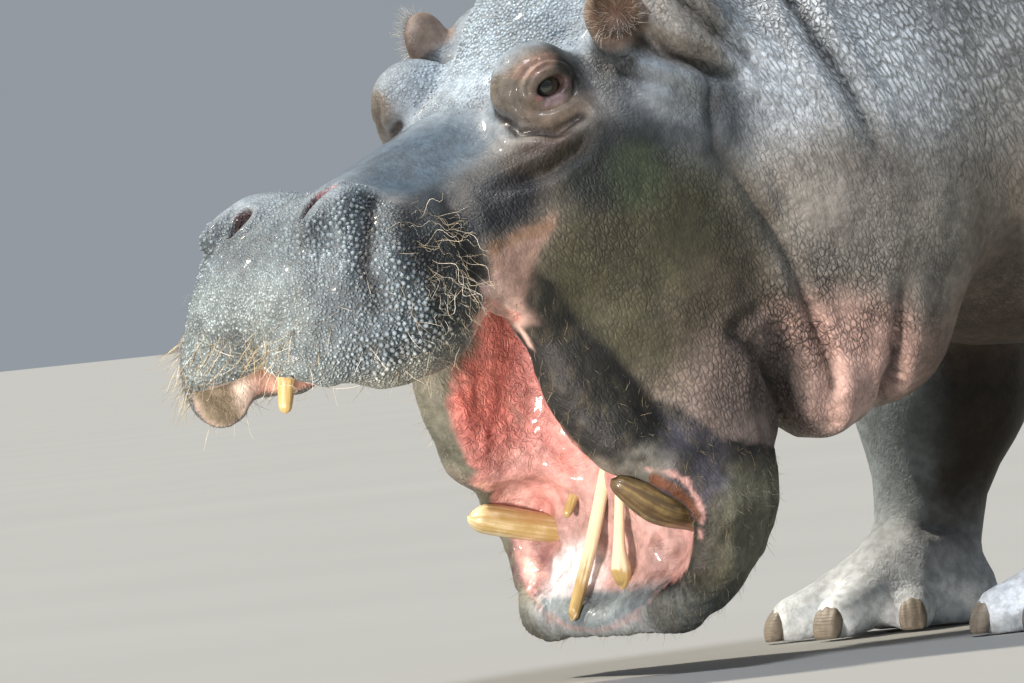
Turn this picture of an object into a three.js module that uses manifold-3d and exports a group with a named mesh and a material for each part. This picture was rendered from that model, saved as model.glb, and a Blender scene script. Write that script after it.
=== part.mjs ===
// A hippopotamus standing with its mouth wide open: a still, life-size museum model.
// Millimetres, +Z up. It faces -Y, its left side is +X, and it stands on the floor at z = 0.
// While it is being built, y is counted back from the toe tips of the fore feet; at the end the
// model is moved along y so that its own box is centred on the origin.
//
// The flesh is one smooth field: rounded masses melted into each other, named for the muscle,
// bone or pad that they stand for. The field is meshed once finely for the head and once coarsely
// for the rest, and the skin is then parted by thin plane cuts into head, jaw, neck, trunk, legs,
// feet, tail and ears. Eyes, teeth, tongue and toenails are solids of their own.
import * as THREE from "three";
import { mergeVertices } from "three/addons/utils/BufferGeometryUtils.js";
import { SimplifyModifier } from "three/addons/modifiers/SimplifyModifier.js";
import Module from "manifold-3d";

// ---------------------------------------------------------------- driving dimensions
const LEG_Y = { fore_left: 262, fore_right: 306, hind_left: 1815, hind_right: 1725 }; // leg axes
const STANCE = 280; // from the midline to the middle of each foot
const EYE_Y = -573; // the eyes, ahead of the toe tips
const EYE_Z = 797;
const EYE = [0, 176, 0]; // each eyeball's centre in the skull's own frame
const EYE_R = 21;
const HEAD_PITCH = 20; // degrees that the skull points down
const JAW_PITCH = 88; // degrees that the lower jaw points down: a gape of 68 degrees
const HINGE_BACK = 110; // the jaw hinge, behind and below the eyes along the skull
const HINGE_DROP = 130;
const FINE_CELL = 21; // grid step of the field before the mesh is thinned
const COARSE_CELL = 36;
const EAR_CELL = 8;
const HEAD_POINTS = 1440; // mesh points kept in the fine skin
const BODY_POINTS = 560; // and in the coarse skin
const LEG_POINTS = 165;
const EAR_POINTS = 75;
const LEG_TOP = 440; // where the legs part from the trunk
const ANKLE = 118; // and the feet from the legs
const GAP = 0.4; // width of the cuts that part the skin
const FLOOR = 0; // the soles are cut flat at this height

const COLOURS = {
  hide: { color: 0x6f675f, roughness: 0.55 },
  lips: { color: 0x575358, roughness: 0.5 },
  ear: { color: 0x8a6353, roughness: 0.65 },
  mouth: { color: 0xc9746c, roughness: 0.35 },
  ivory: { color: 0xc8ab6c, roughness: 0.4 },
  eye: { color: 0x2a2018, roughness: 0.1 },
  nail: { color: 0x4d463d, roughness: 0.5 },
};

const wasm = await Module();
wasm.setup();
const rad = THREE.MathUtils.degToRad;

// ---------------------------------------------------------------- frames in the side view
// A frame turns (forward, sideways, up) into x, y, z. Each is pitched nose-down by some degrees.
function frame(y, z, pitch) {
  const c = Math.cos(rad(pitch)),
    s = Math.sin(rad(pitch));
  return {
    y,
    z,
    c,
    s,
    pitch,
    point: (f, x, u) => [x, y - f * c - u * s, z - f * s + u * c],
  };
}

const WORLD = frame(0, 0, 0); // forward is -y here
const SKULL = frame(EYE_Y, EYE_Z, HEAD_PITCH);
const [, HINGE_Y, HINGE_Z] = SKULL.point(-HINGE_BACK, 0, -HINGE_DROP);
const JAW = frame(HINGE_Y, HINGE_Z, JAW_PITCH);

// ---------------------------------------------------------------- fields
// A field gives about how far a point is outside a shape, in millimetres, and below 0 inside it.
const melt = (a, b, k) => {
  const h = Math.max(k - Math.abs(a - b), 0) / k;
  return Math.min(a, b) - (h * h * k) / 4;
};
const carve = (a, b, k) => -melt(-a, b, k);

// An ellipsoid in a frame: place and radii are (forward, sideways, up); a pair has a twin on -x.
// Pitch turns it nose-down, and yaw turns its front outward.
function mass(fr, place, radii, { pair = false, pitch = 0, yaw = 0, blend = 40 } = {}) {
  const [cx, cy, cz] = fr.point(...place);
  const a = rad(fr.pitch + pitch),
    c = Math.cos(a),
    s = Math.sin(a),
    cosYaw = Math.cos(rad(yaw)),
    sinYaw = Math.sin(rad(yaw));
  const [rf, rx, ru] = radii;
  const at = (x, y, z) => {
    const dx = (pair ? Math.abs(x) : x) - cx,
      dy = y - cy,
      dz = z - cz;
    const ahead = -dy * c - dz * s,
      f = (ahead * cosYaw + dx * sinYaw) / rf,
      u = (-dy * s + dz * c) / ru,
      w = (dx * cosYaw - ahead * sinYaw) / rx;
    const near = Math.sqrt(f * f + u * u + w * w);
    if (near < 1e-6) return -Math.min(rf, rx, ru);
    const slope = Math.sqrt((f / rf) ** 2 + (u / ru) ** 2 + (w / rx) ** 2);
    return (near * (near - 1)) / slope;
  };
  return { at, blend };
}

// A tapering round limb from one place to another; wide stretches its section sideways.
function limb(fr, from, to, rFrom, rTo, { pair = false, wide = 1, blend = 40 } = {}) {
  const [ax, ay, az] = fr.point(...from),
    [bx, by, bz] = fr.point(...to);
  const lx = (bx - ax) / wide,
    ly = by - ay,
    lz = bz - az,
    long2 = lx * lx + ly * ly + lz * lz;
  const at = (x, y, z) => {
    const px = ((pair ? Math.abs(x) : x) - ax) / wide,
      py = y - ay,
      pz = z - az;
    const t = THREE.MathUtils.clamp((px * lx + py * ly + pz * lz) / long2, 0, 1);
    const ease = t * t * (3 - 2 * t);
    const d = Math.hypot(px - t * lx, py - t * ly, pz - t * lz);
    return (d - (rFrom + (rTo - rFrom) * ease)) * Math.min(1, wide);
  };
  return { at, blend };
}

const melted = (shapes) => (x, y, z) =>
  shapes.reduce((d, s) => (d === null ? s.at(x, y, z) : melt(d, s.at(x, y, z), s.blend)), null);

// ---------------------------------------------------------------- the flesh
const TRUNK = [
  limb(WORLD, [-590, 0, 880], [-1700, 0, 890], 452, 455, { wide: 1.06 }), // barrel of the ribs
  mass(WORLD, [-1190, 0, 800], [740, 520, 425], { blend: 130 }), // belly
  mass(WORLD, [-480, 0, 1080], [400, 215, 305], { blend: 160 }), // withers
  mass(WORLD, [-1640, 0, 1060], [480, 280, 350], { blend: 160 }), // croup
  mass(WORLD, [-405, 300, 790], [235, 158, 360], { pair: true, blend: 90 }), // shoulder blade
  mass(WORLD, [-1790, 285, 790], [310, 205, 360], { pair: true, blend: 90 }), // haunch
  mass(WORLD, [-2070, 140, 810], [160, 190, 290], { pair: true, blend: 110 }), // buttock
  mass(WORLD, [-270, 0, 620], [250, 240, 225], { blend: 110 }), // brisket
  mass(WORLD, [-2160, 0, 1010], [90, 70, 90], { blend: 90 }), // root of the tail
];

const NECK = [
  limb(WORLD, [-420, 0, 890], [270, 0, 745], 420, 258, { blend: 140 }), // neck muscles
  limb(WORLD, [-420, 0, 1120], [378, 0, 868], 245, 106, { blend: 120 }), // nape
  mass(WORLD, [120, 200, 640], [230, 120, 250], { pair: true, blend: 80 }), // side of the neck
  mass(WORLD, [172, 168, 418], [84, 84, 126], { pair: true, blend: 40 }), // jowl
  mass(WORLD, [58, 150, 448], [108, 110, 118], { pair: true, blend: 40 }), // second jowl
  mass(WORLD, [130, 0, 470], [170, 170, 135], { blend: 70 }), // throat
];

const HEAD = [
  mass(SKULL, [-176, 0, -10], [150, 128, 116]), // brain case and crown
  mass(SKULL, [-120, 0, -120], [190, 205, 130], { blend: 70 }), // back of the skull
  mass(SKULL, [-190, 205, -20], [85, 62, 85], { pair: true, blend: 50 }), // fold behind the ear
  mass(SKULL, [-75, 160, -150], [170, 95, 130], { pair: true, blend: 60 }), // cheek bone
  mass(SKULL, [-6, 150, 4], [60, 54, 57], { pair: true, blend: 28 }), // eye turret
  limb(SKULL, [100, 140, -98], [-4, 168, -74], 24, 34, { pair: true, blend: 30 }), // fold under it
  limb(SKULL, [0, 0, -98], [300, 0, -112], 106, 98, { wide: 1.2, blend: 60 }), // bridge
  mass(SKULL, [325, 108, -146], [138, 104, 118], { pair: true, pitch: 12, blend: 36 }), // muzzle
  mass(SKULL, [306, 138, -196], [112, 68, 78], { pair: true, blend: 30 }), // rear of the lip
  limb(SKULL, [408, 88, -130], [446, 104, -178], 72, 62, { pair: true, blend: 36 }), // front lip
  limb(SKULL, [430, -98, -160], [472, -100, -216], 60, 52, { blend: 30 }), // its hanging right lobe
  mass(SKULL, [392, 0, -118], [80, 90, 78], { blend: 60 }), // between the nostrils
  mass(SKULL, [322, 82, -48], [66, 50, 45], { pair: true, pitch: 10, blend: 30 }), // nostril
  mass(SKULL, [110, 118, -150], [190, 78, 70], { pair: true, blend: 60 }), // over the gums
];

const LOWER_JAW = [
  mass(JAW, [528, 122, -62], [112, 96, 88], { pair: true, blend: 60 }), // chin
  mass(JAW, [540, 0, -62], [104, 150, 84], { blend: 60 }), // middle of the chin
  mass(JAW, [455, 160, -70], [96, 74, 92], { pair: true, blend: 50 }), // tusk socket
  limb(JAW, [170, 150, -60], [480, 142, -64], 112, 92, { pair: true, blend: 60 }), // jaw bone
  mass(JAW, [90, 172, -30], [205, 92, 170], { pair: true, blend: 70 }), // chewing muscle
  mass(JAW, [300, 0, -105], [260, 170, 75], { blend: 70 }), // floor of the mouth
];

// The lower lip: a roll from the corner of the mouth down past the tusk and round the chin.
const LIP = [
  { place: [150, 150, 216], r: 28 },
  { place: [300, 152, 128], r: 31 },
  { place: [398, 182, 72], r: 36 },
  { place: [446, 212, 4], r: 31 },
  { place: [498, 234, -38], r: 27 },
  { place: [560, 220, -40], r: 27 },
  { place: [620, 160, -16], r: 30 },
  { place: [628, 0, 16], r: 30 },
];
for (let i = 1; i < LIP.length; i++) {
  const [from, to] = [LIP[i - 1], LIP[i]];
  LOWER_JAW.push(limb(JAW, from.place, to.place, from.r, to.r, { pair: true, blend: 34 }));
}
// The cheek stretched behind the lip.
LOWER_JAW.push(
  mass(JAW, [100, 160, 120], [140, 44, 125], { pair: true, pitch: -34, blend: 50 }),
  mass(JAW, [250, 156, 36], [160, 46, 78], { pair: true, pitch: -34, blend: 50 }),
);

function inFrame(fr, y, z) {
  const dy = y - fr.y,
    dz = z - fr.z;
  return [-dy * fr.c - dz * fr.s, -dy * fr.s + dz * fr.c];
}

// The open mouth: a wedge between palate and tongue bed, and a trough in each jaw. The lip is
// drawn up on the left of the midline, as it often is in a yawn.
const MOUTH = [
  {
    at: (x, y, z) => {
      const [f, u] = inFrame(SKULL, y, z),
        [g, v] = inFrame(JAW, y, z);
      const roof = u + 196 - 0.11 * Math.max(0, 400 - f);
      return Math.max(roof, 22 - v, Math.abs(x) - 112, -f - 20, -g - 20);
    },
    blend: 30,
  },
  mass(JAW, [350, 0, 48], [240, 118, 90], { blend: 30 }), // trough of the jaw
  mass(JAW, [530, 0, 30], [92, 150, 66], { blend: 36 }), // basin inside the chin
  mass(JAW, [516, 140, 16], [80, 88, 56], { pair: true, blend: 30 }), // its sides, by the tusks
  mass(SKULL, [300, 0, -262], [170, 138, 72], { blend: 30 }), // vault of the palate
  mass(SKULL, [466, 62, -272], [88, 88, 88], { blend: 26 }), // where the lip is drawn up
];

// A leg down to the ankle and its foot: a pad with four toes fanned out in front of it.
const TOES = [
  { turn: -52, reach: 112, r: 33, nail: 20 },
  { turn: -18, reach: 182, r: 36, nail: 24 },
  { turn: 18, reach: 182, r: 36, nail: 24 },
  { turn: 52, reach: 112, r: 33, nail: 20 },
];
const LEGS = Object.entries(LEG_Y).map(([name, y]) => {
  const x = name.endsWith("left") ? STANCE : -STANCE,
    fore = name.startsWith("fore"),
    size = fore ? 1 : 0.94,
    heel = -y + 10;
  const toes = TOES.map((toe) => {
    const a = rad(toe.turn),
      reach = toe.reach * size;
    return { ...toe, tip: [heel + 30 + reach * Math.cos(a), x + reach * Math.sin(a), toe.r * size * 0.8] };
  });
  const upper = fore
    ? [
        limb(WORLD, [-(y + 85), x * 1.02, 660], [-(y + 38), x, 335], 180, 125, { blend: 70 }),
        limb(WORLD, [-(y + 38), x, 335], [-(y - 4), x, 160], 125, 80, { blend: 20 }),
      ]
    : [
        limb(WORLD, [-(y - 60), x, 660], [-(y + 50), x, 345], 215, 120, { blend: 70 }),
        limb(WORLD, [-(y + 50), x, 345], [-(y + 14), x, 160], 120, 80, { blend: 20 }),
      ];
  const foot = [
    mass(WORLD, [heel - 5, x, 40], [88 * size, 92 * size, 84], { blend: 40 }),
    ...toes.map((toe) =>
      limb(WORLD, [heel + 22, x, 84 * size], toe.tip, 72 * size, toe.r * size, { blend: 24 }),
    ),
  ];
  return { name, x, y, size, toes, shapes: [...upper, ...foot] };
});

const EARS = [
  limb(SKULL, [-118, 175, -6], [-112, 212, 26], 30, 26, { pair: true, blend: 20 }),
  mass(SKULL, [-112, 232, 52], [40, 24, 42], { pair: true, yaw: -25, blend: 20 }),
];
const EAR_CUP = mass(SKULL, [-100, 254, 60], [27, 26, 31], { pair: true, yaw: -25 });

const bodyField = melted([...TRUNK, ...NECK, ...LEGS.flatMap((leg) => leg.shapes)]);
const faceField = melted([...HEAD, ...LOWER_JAW]);
const mouthField = melted(MOUTH);
const earField = melted(EARS);
const skin = (x, y, z) =>
  carve(melt(faceField(x, y, z), bodyField(x, y, z), 70), mouthField(x, y, z), 24);
const ear = (x, y, z) => carve(earField(x, y, z), EAR_CUP.at(x, y, z), 8);

// Teeth, tongue and tail: stations of [forward, sideways, up, radius].
const LOWER_TUSK = {
  left: [
    [530, 166, -112, 20],
    [504, 196, -30, 22],
    [484, 203, 40, 25],
    [446, 190, 98, 12],
  ],
  right: [
    [516, 158, -96, 20],
    [502, 170, -16, 21],
    [489, 204, 40, 21],
    [482, 218, 68, 16],
  ],
};
const FRONT_INCISOR = {
  left: [
    [430, 30, -24, 6],
    [530, 32, -12, 8],
    [572, 32, -12, 14],
    [596, 32, -12, 11],
  ],
  right: [
    [430, 30, -42, 9],
    [540, 35, -8, 9],
    [635, 40, 27, 8],
  ],
};
const SIDE_INCISOR = [
  [435, 88, -44, 7],
  [470, 92, -24, 7],
  [494, 95, -12, 6],
];
const UPPER_INCISOR = [
  [462, 76, -160, 13],
  [480, 80, -192, 13],
  [506, 82, -236, 8],
];
const UPPER_TUSK = [
  [398, 112, -164, 16],
  [408, 118, -196, 16],
  [416, 122, -222, 10],
];
const TONGUE = [
  [110, 0, 24, 52],
  [220, 0, 6, 68],
  [330, 0, -8, 62],
  [408, 0, -14, 34],
];
const TAIL = [
  [-2130, 0, 1045, 62],
  [-2215, 0, 985, 52],
  [-2262, 0, 880, 36],
  [-2282, 0, 740, 25],
  [-2286, 0, 620, 15],
];

// ---------------------------------------------------------------- from field to solid
// Surface nets: one vertex in each cell that the surface crosses, pulled onto the surface.
function net(shape, low, high, cell) {
  const n = low.map((v, i) => Math.ceil((high[i] - v) / cell[i]) + 1);
  const field = (x, y, z) =>
    Math.max(shape(x, y, z), ...[x, y, z].map((v, i) => Math.max(low[i] + 1 - v, v - high[i] + 1)));
  const at = (i, j, k) => (k * n[1] + j) * n[0] + i;
  const grid = new Float32Array(n[0] * n[1] * n[2]);
  for (let k = 0; k < n[2]; k++)
    for (let j = 0; j < n[1]; j++)
      for (let i = 0; i < n[0]; i++)
        grid[at(i, j, k)] = field(low[0] + i * cell[0], low[1] + j * cell[1], low[2] + k * cell[2]);
  closeCheckers(grid, n, at);
  const corners = [0, 1, 2, 3, 4, 5, 6, 7].map((b) => [b & 1, (b >> 1) & 1, b >> 2]);
  const ids = new Map(),
    points = [],
    faces = [];
  for (let k = 0; k < n[2] - 1; k++)
    for (let j = 0; j < n[1] - 1; j++)
      for (let i = 0; i < n[0] - 1; i++) {
        const d = corners.map(([a, b, c]) => grid[at(i + a, j + b, k + c)]);
        let sum = [0, 0, 0],
          count = 0;
        for (let p = 0; p < 8; p++)
          for (const bit of [1, 2, 4]) {
            const q = p | bit;
            if (q === p || d[p] < 0 === d[q] < 0) continue;
            const t = d[p] / (d[p] - d[q]);
            sum = sum.map((s, a) => s + corners[p][a] + t * (corners[q][a] - corners[p][a]));
            count++;
          }
        if (!count) continue;
        ids.set(at(i, j, k), points.length / 3);
        const v = sum.map((s, a) => low[a] + ([i, j, k][a] + s / count) * cell[a]);
        points.push(...settle(field, v, cell.map((c) => c * 0.45)));
      }
  const across = [
    [0, 1, 0, 0, 0, 1],
    [0, 0, 1, 1, 0, 0],
    [1, 0, 0, 0, 1, 0],
  ];
  for (let k = 0; k < n[2] - 1; k++)
    for (let j = 0; j < n[1] - 1; j++)
      for (let i = 0; i < n[0] - 1; i++)
        for (let axis = 0; axis < 3; axis++) {
          if ([i, j, k].some((v, a) => v === 0 && a !== axis)) continue;
          const step = [0, 0, 0];
          step[axis] = 1;
          const here = grid[at(i, j, k)] < 0,
            next = grid[at(i + step[0], j + step[1], k + step[2])] < 0;
          if (here === next) continue;
          const [a, b, c, p, q, r] = across[axis];
          const quad = [
            at(i, j, k),
            at(i - a, j - b, k - c),
            at(i - a - p, j - b - q, k - c - r),
            at(i - p, j - q, k - r),
          ].map((key) => ids.get(key));
          if (!here) quad.reverse();
          faces.push(quad[0], quad[1], quad[2], quad[0], quad[2], quad[3]);
        }
  return geometryOf(new Float32Array(points), faces);
}

// Where four neighbouring grid points are inside and outside like a chequerboard, the surface would
// pinch itself, so the nearer of the two outside points is taken in.
function closeCheckers(grid, n, at) {
  const planes = [
    [at(1, 0, 0), at(0, 1, 0), [1, 1, 0]],
    [at(0, 1, 0), at(0, 0, 1), [0, 1, 1]],
    [at(0, 0, 1), at(1, 0, 0), [1, 0, 1]],
  ];
  for (let changed = true; changed; ) {
    changed = false;
    for (const [p, q, [ei, ej, ek]] of planes)
      for (let k = 0; k < n[2] - ek; k++)
        for (let j = 0; j < n[1] - ej; j++)
          for (let i = 0; i < n[0] - ei; i++) {
            const o = at(i, j, k);
            const ring = [o, o + p, o + p + q, o + q];
            const inside = ring.map((v) => grid[v] < 0);
            if (inside[0] !== inside[2] || inside[1] !== inside[3] || inside[0] === inside[1]) continue;
            const outer = inside[0] ? [ring[1], ring[3]] : [ring[0], ring[2]];
            grid[grid[outer[0]] < grid[outer[1]] ? outer[0] : outer[1]] = -1e-3;
            changed = true;
          }
  }
}

// Moves a vertex onto the surface along the field's slope, but no further than most.
function settle(field, v, most) {
  const start = [...v],
    h = 0.5;
  for (let round = 0; round < 3; round++) {
    const d = field(...v);
    const slope = [0, 1, 2].map((a) => {
      const w = [...v];
      w[a] += h;
      return (field(...w) - d) / h;
    });
    const steep = slope.reduce((s, g) => s + g * g, 0);
    if (steep < 0.05) break;
    v = v.map((c, a) => c - (d * slope[a]) / steep);
    v = v.map((c, a) => Math.min(Math.max(c, start[a] - most[a]), start[a] + most[a]));
  }
  return v;
}

function geometryOf(points, faces) {
  const g = new THREE.BufferGeometry();
  g.setAttribute("position", new THREE.BufferAttribute(points, 3));
  g.setIndex(faces);
  return g;
}

function solid(geometry) {
  const bare = geometry.clone();
  bare.deleteAttribute("normal");
  bare.deleteAttribute("uv");
  const merged = mergeVertices(bare, 1e-3);
  return new wasm.Manifold(
    new wasm.Mesh({
      numProp: 3,
      vertProperties: merged.attributes.position.array,
      triVerts: new Uint32Array(merged.index.array),
    }),
  );
}

// A box larger than the animal, on the side of a plane that its normal points to.
function side(point, normal, away = GAP / 2) {
  const big = 6000;
  const g = new THREE.BoxGeometry(big, big, big).translate(0, 0, big / 2);
  const n = new THREE.Vector3(...normal).normalize();
  g.applyQuaternion(new THREE.Quaternion().setFromUnitVectors(new THREE.Vector3(0, 0, 1), n));
  const p = new THREE.Vector3(...point).addScaledVector(n, away);
  return solid(g.translate(p.x, p.y, p.z));
}

const root = new THREE.Group();
function add(name, shape, finish) {
  // Cuts leave crumbs where a plane grazes the skin, so only the largest body is kept.
  const body = shape.decompose().sort((a, b) => b.volume() - a.volume())[0];
  const material = new THREE.MeshStandardMaterial({ metalness: 0, ...COLOURS[finish] });
  const mesh = new THREE.Mesh(meshOf(body), material);
  mesh.name = name;
  root.add(mesh);
}

// Meshes a field, then thins the mesh down to about so many points.
async function mould(field, low, high, cell, points) {
  const full = net(field, low, high, [cell, cell, cell]);
  const spare = full.attributes.position.count - points;
  return solid(spare > 0 ? await new SimplifyModifier().modify(full, spare) : full);
}

// A ball stretched to radii (forward, sideways, up) in a frame, turned outward by yaw degrees.
function ball(fr, centre, radii, { s = 1, pitch = 0, yaw = 0, around = 12 } = {}) {
  const g = new THREE.SphereGeometry(1, around, Math.ceil(around / 2)).rotateZ(Math.PI / 2);
  g.scale(radii[1], radii[0], radii[2]);
  g.rotateZ(rad(yaw) * s).rotateX(rad(fr.pitch + pitch));
  return solid(g.translate(...fr.point(centre[0], centre[1] * s, centre[2])));
}

const meshOf = (shape) => {
  const made = shape.getMesh();
  return geometryOf(Float32Array.from(made.vertProperties), Array.from(made.triVerts));
};

// The twin of a solid on the other side of the midline.
function mirrored(shape) {
  const g = meshOf(shape).scale(-1, 1, 1);
  g.index.array.reverse();
  return solid(g);
}

// The same solid a hair larger: every corner moved out along its normal.
function grown(shape, by = GAP) {
  const g = meshOf(shape);
  g.computeVertexNormals();
  const { position, normal } = g.attributes;
  for (let i = 0; i < position.count; i++)
    position.setXYZ(
      i,
      position.getX(i) + normal.getX(i) * by,
      position.getY(i) + normal.getY(i) * by,
      position.getZ(i) + normal.getZ(i) * by,
    );
  return solid(g);
}
const cut = (from, ...tools) => tools.reduce((left, tool) => left.subtract(tool), from);

// A tooth, the tongue or the tail: rings of a radius along a bent line through stations
// [forward, sideways, up, radius] in a frame, closed by its two ends.
function horn(fr, rows, { s = 1, around = 8, steps = 2, flat = 1 } = {}) {
  const stations = rows.map(([f, x, u, r]) => ({ at: fr.point(f, x * s, u), r }));
  const line = new THREE.CatmullRomCurve3(stations.map((row) => new THREE.Vector3(...row.at)));
  const n = (stations.length - 1) * steps;
  const points = [],
    faces = [];
  const up = new THREE.Vector3(1, 0, 0);
  for (let i = 0; i <= n; i++) {
    const t = i / n,
      k = Math.min(Math.floor(t * (stations.length - 1)), stations.length - 2),
      part = t * (stations.length - 1) - k;
    const r = stations[k].r + (stations[k + 1].r - stations[k].r) * part;
    const centre = line.getPoint(t),
      along = line.getTangent(t);
    const sideways = up.clone().addScaledVector(along, -up.dot(along)).normalize();
    const over = along.clone().cross(sideways);
    for (let j = 0; j < around; j++) {
      const a = (j / around) * 2 * Math.PI;
      const p = centre
        .clone()
        .addScaledVector(sideways, Math.cos(a) * r)
        .addScaledVector(over, Math.sin(a) * r * flat);
      points.push(p.x, p.y, p.z);
      if (i === n) continue;
      const a0 = i * around + j,
        a1 = i * around + ((j + 1) % around);
      faces.push(a0, a1, a0 + around, a1, a1 + around, a0 + around);
    }
  }
  for (const [ring, flip] of [
    [0, true],
    [n, false],
  ]) {
    const c = line.getPoint(ring / n);
    const tip = points.length / 3;
    points.push(c.x, c.y, c.z);
    for (let j = 0; j < around; j++) {
      const p = ring * around + j,
        q = ring * around + ((j + 1) % around);
      faces.push(...(flip ? [tip, q, p] : [tip, p, q]));
    }
  }
  return solid(geometryOf(new Float32Array(points), faces));
}

// ---------------------------------------------------------------- the model
const SIDES = { left: 1, right: -1 };
const fine = await mould(skin, [-400, -1120, -40], [400, 110, 1290], FINE_CELL, HEAD_POINTS);
const coarse = await mould(skin, [-640, -120, 240], [640, 2400, 1500], COARSE_CELL, BODY_POINTS);

// Head and jaw part along a plane from the corner of the mouth up through the hinge, and in front
// of the corner through the open gape. The neck lies behind both.
const CORNER = SKULL.point(196, 0, -182);
const NAPE = { at: [0, -268, 700], normal: [0, 1, 0.1] };
const SHOULDER = { at: [0, 60, 800], normal: [0, 1, 0.06] };
const jawSide = (away) =>
  side(CORNER, [0, HINGE_Z - CORNER[2], CORNER[1] - HINGE_Y], away).intersect(
    side(CORNER, [0, Math.sin(rad(56)), -Math.cos(rad(56))], away),
  );
const behind = (plane) => side(plane.at, plane.normal);
const ahead = (plane) =>
  side(
    plane.at,
    plane.normal.map((v) => -v),
  );

const parts = [];
const later = (name, shape, finish) => {
  parts.push([name, shape, finish]);
  return grown(shape);
};

// Things set into the skin; each leaves a socket a hair wider than itself.
const inHead = [],
  inJaw = [],
  inTrunk = [];
const pinna = await mould(ear, [20, -600, 650], [320, -300, 1000], EAR_CELL, EAR_POINTS);
for (const [name, s] of Object.entries(SIDES)) {
  inHead.push(later(`ear_${name}`, s > 0 ? pinna : mirrored(pinna), "ear"));
  inHead.push(later(`eye_${name}`, ball(SKULL, EYE, [EYE_R, EYE_R, EYE_R], { s, around: 10 }), "eye"));
  inHead.push(ball(SKULL, [EYE[0] + 6, EYE[1] + 24, EYE[2]], [25, 24, 14], { s, yaw: -12, around: 9 }));
  inHead.push(ball(SKULL, [340, 92, -14], [34, 15, 26], { s, pitch: 6, yaw: 10, around: 7 }));
  inHead.push(later(`upper_tusk_${name}`, horn(SKULL, UPPER_TUSK, { s, around: 7, steps: 1 }), "ivory"));
  inJaw.push(later(`lower_tusk_${name}`, horn(JAW, LOWER_TUSK[name], { s }), "ivory"));
  inJaw.push(later(`side_incisor_${name}`, horn(JAW, SIDE_INCISOR, { s, around: 6, steps: 1 }), "ivory"));
  inJaw.push(later(`front_incisor_${name}`, horn(JAW, FRONT_INCISOR[name], { s, around: 8 }), "ivory"));
}
inHead.push(later("upper_incisor", horn(SKULL, UPPER_INCISOR, { around: 6, steps: 1 }), "ivory"));
inJaw.push(later("tongue", horn(JAW, TONGUE, { around: 10, flat: 0.5 }), "mouth"));
inTrunk.push(later("tail", horn(WORLD, TAIL, { around: 8, flat: 0.8 }), "hide"));

const face = fine.intersect(ahead(NAPE));
add("head", cut(face.subtract(jawSide(-GAP / 2)), ...inHead), "hide");
add("jaw", cut(face.intersect(jawSide(GAP / 2)), ...inJaw), "hide");
add("neck", fine.intersect(behind(NAPE)).intersect(ahead(SHOULDER)), "hide");

// Legs come off the trunk inside a box each, and feet off the legs at the ankle.
for (const leg of LEGS) {
  const box = (grow) => {
    const g = new THREE.BoxGeometry(380 + grow, 620 + grow, 1000);
    return solid(g.translate(leg.x * 1.08, leg.y, LEG_TOP - 500 + grow / 2));
  };
  const low = [leg.x > 0 ? 60 : -560, leg.y - 400, -90];
  const whole = await mould(skin, low, [low[0] + 500, leg.y + 400, 520], 24, LEG_POINTS);
  const shank = whole.intersect(box(-GAP)).intersect(side([0, 0, FLOOR], [0, 0, 1], 0));
  inTrunk.push(box(GAP));
  add(`${leg.name}_leg`, shank.intersect(side([0, 0, ANKLE], [0, 0, 1])), "hide");
  const foot = shank.intersect(side([0, 0, ANKLE], [0, 0, -1]));
  const nails = leg.toes.map((toe, i) => {
    const [f, x, u] = toe.tip;
    const out = toe.r * leg.size - 7;
    const at = [f + out * Math.cos(rad(toe.turn)), x + out * Math.sin(rad(toe.turn)), u - 7];
    const whole = ball(WORLD, at, [13, toe.nail, 28], { yaw: toe.turn, pitch: -18, around: 6 });
    return [`${leg.name}_nail_${i + 1}`, whole.intersect(side([0, 0, 3], [0, 0, 1], 0)), "nail"];
  });
  add(`${leg.name}_foot`, cut(foot, ...nails.map((nail) => grown(nail[1]))), "hide");
  parts.push(...nails);
}
add("trunk", cut(coarse.intersect(behind(SHOULDER)), ...inTrunk), "hide");
for (const part of parts) add(...part);

// The origin is the middle of the model's own box, on the floor.
const size = new THREE.Box3().setFromObject(root);
root.position.set(-(size.min.x + size.max.x) / 2, -(size.min.y + size.max.y) / 2, -size.min.z);
export default root;
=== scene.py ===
"""A hippopotamus standing with its mouth wide open: the looks of a still, life-size model.

Metres, +Z up. The animal faces -Y and its left side is +X. Its anatomy is written in millimetres,
in frames of its own that follow the skull and the lower jaw, and is scaled when a mesh is made.
One skin, a smooth field of rounded masses melted into each other, stands for all nodes of flesh.
"""

import math

import bmesh
import bpy
import numpy as np
from mathutils import Matrix, Vector


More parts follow.
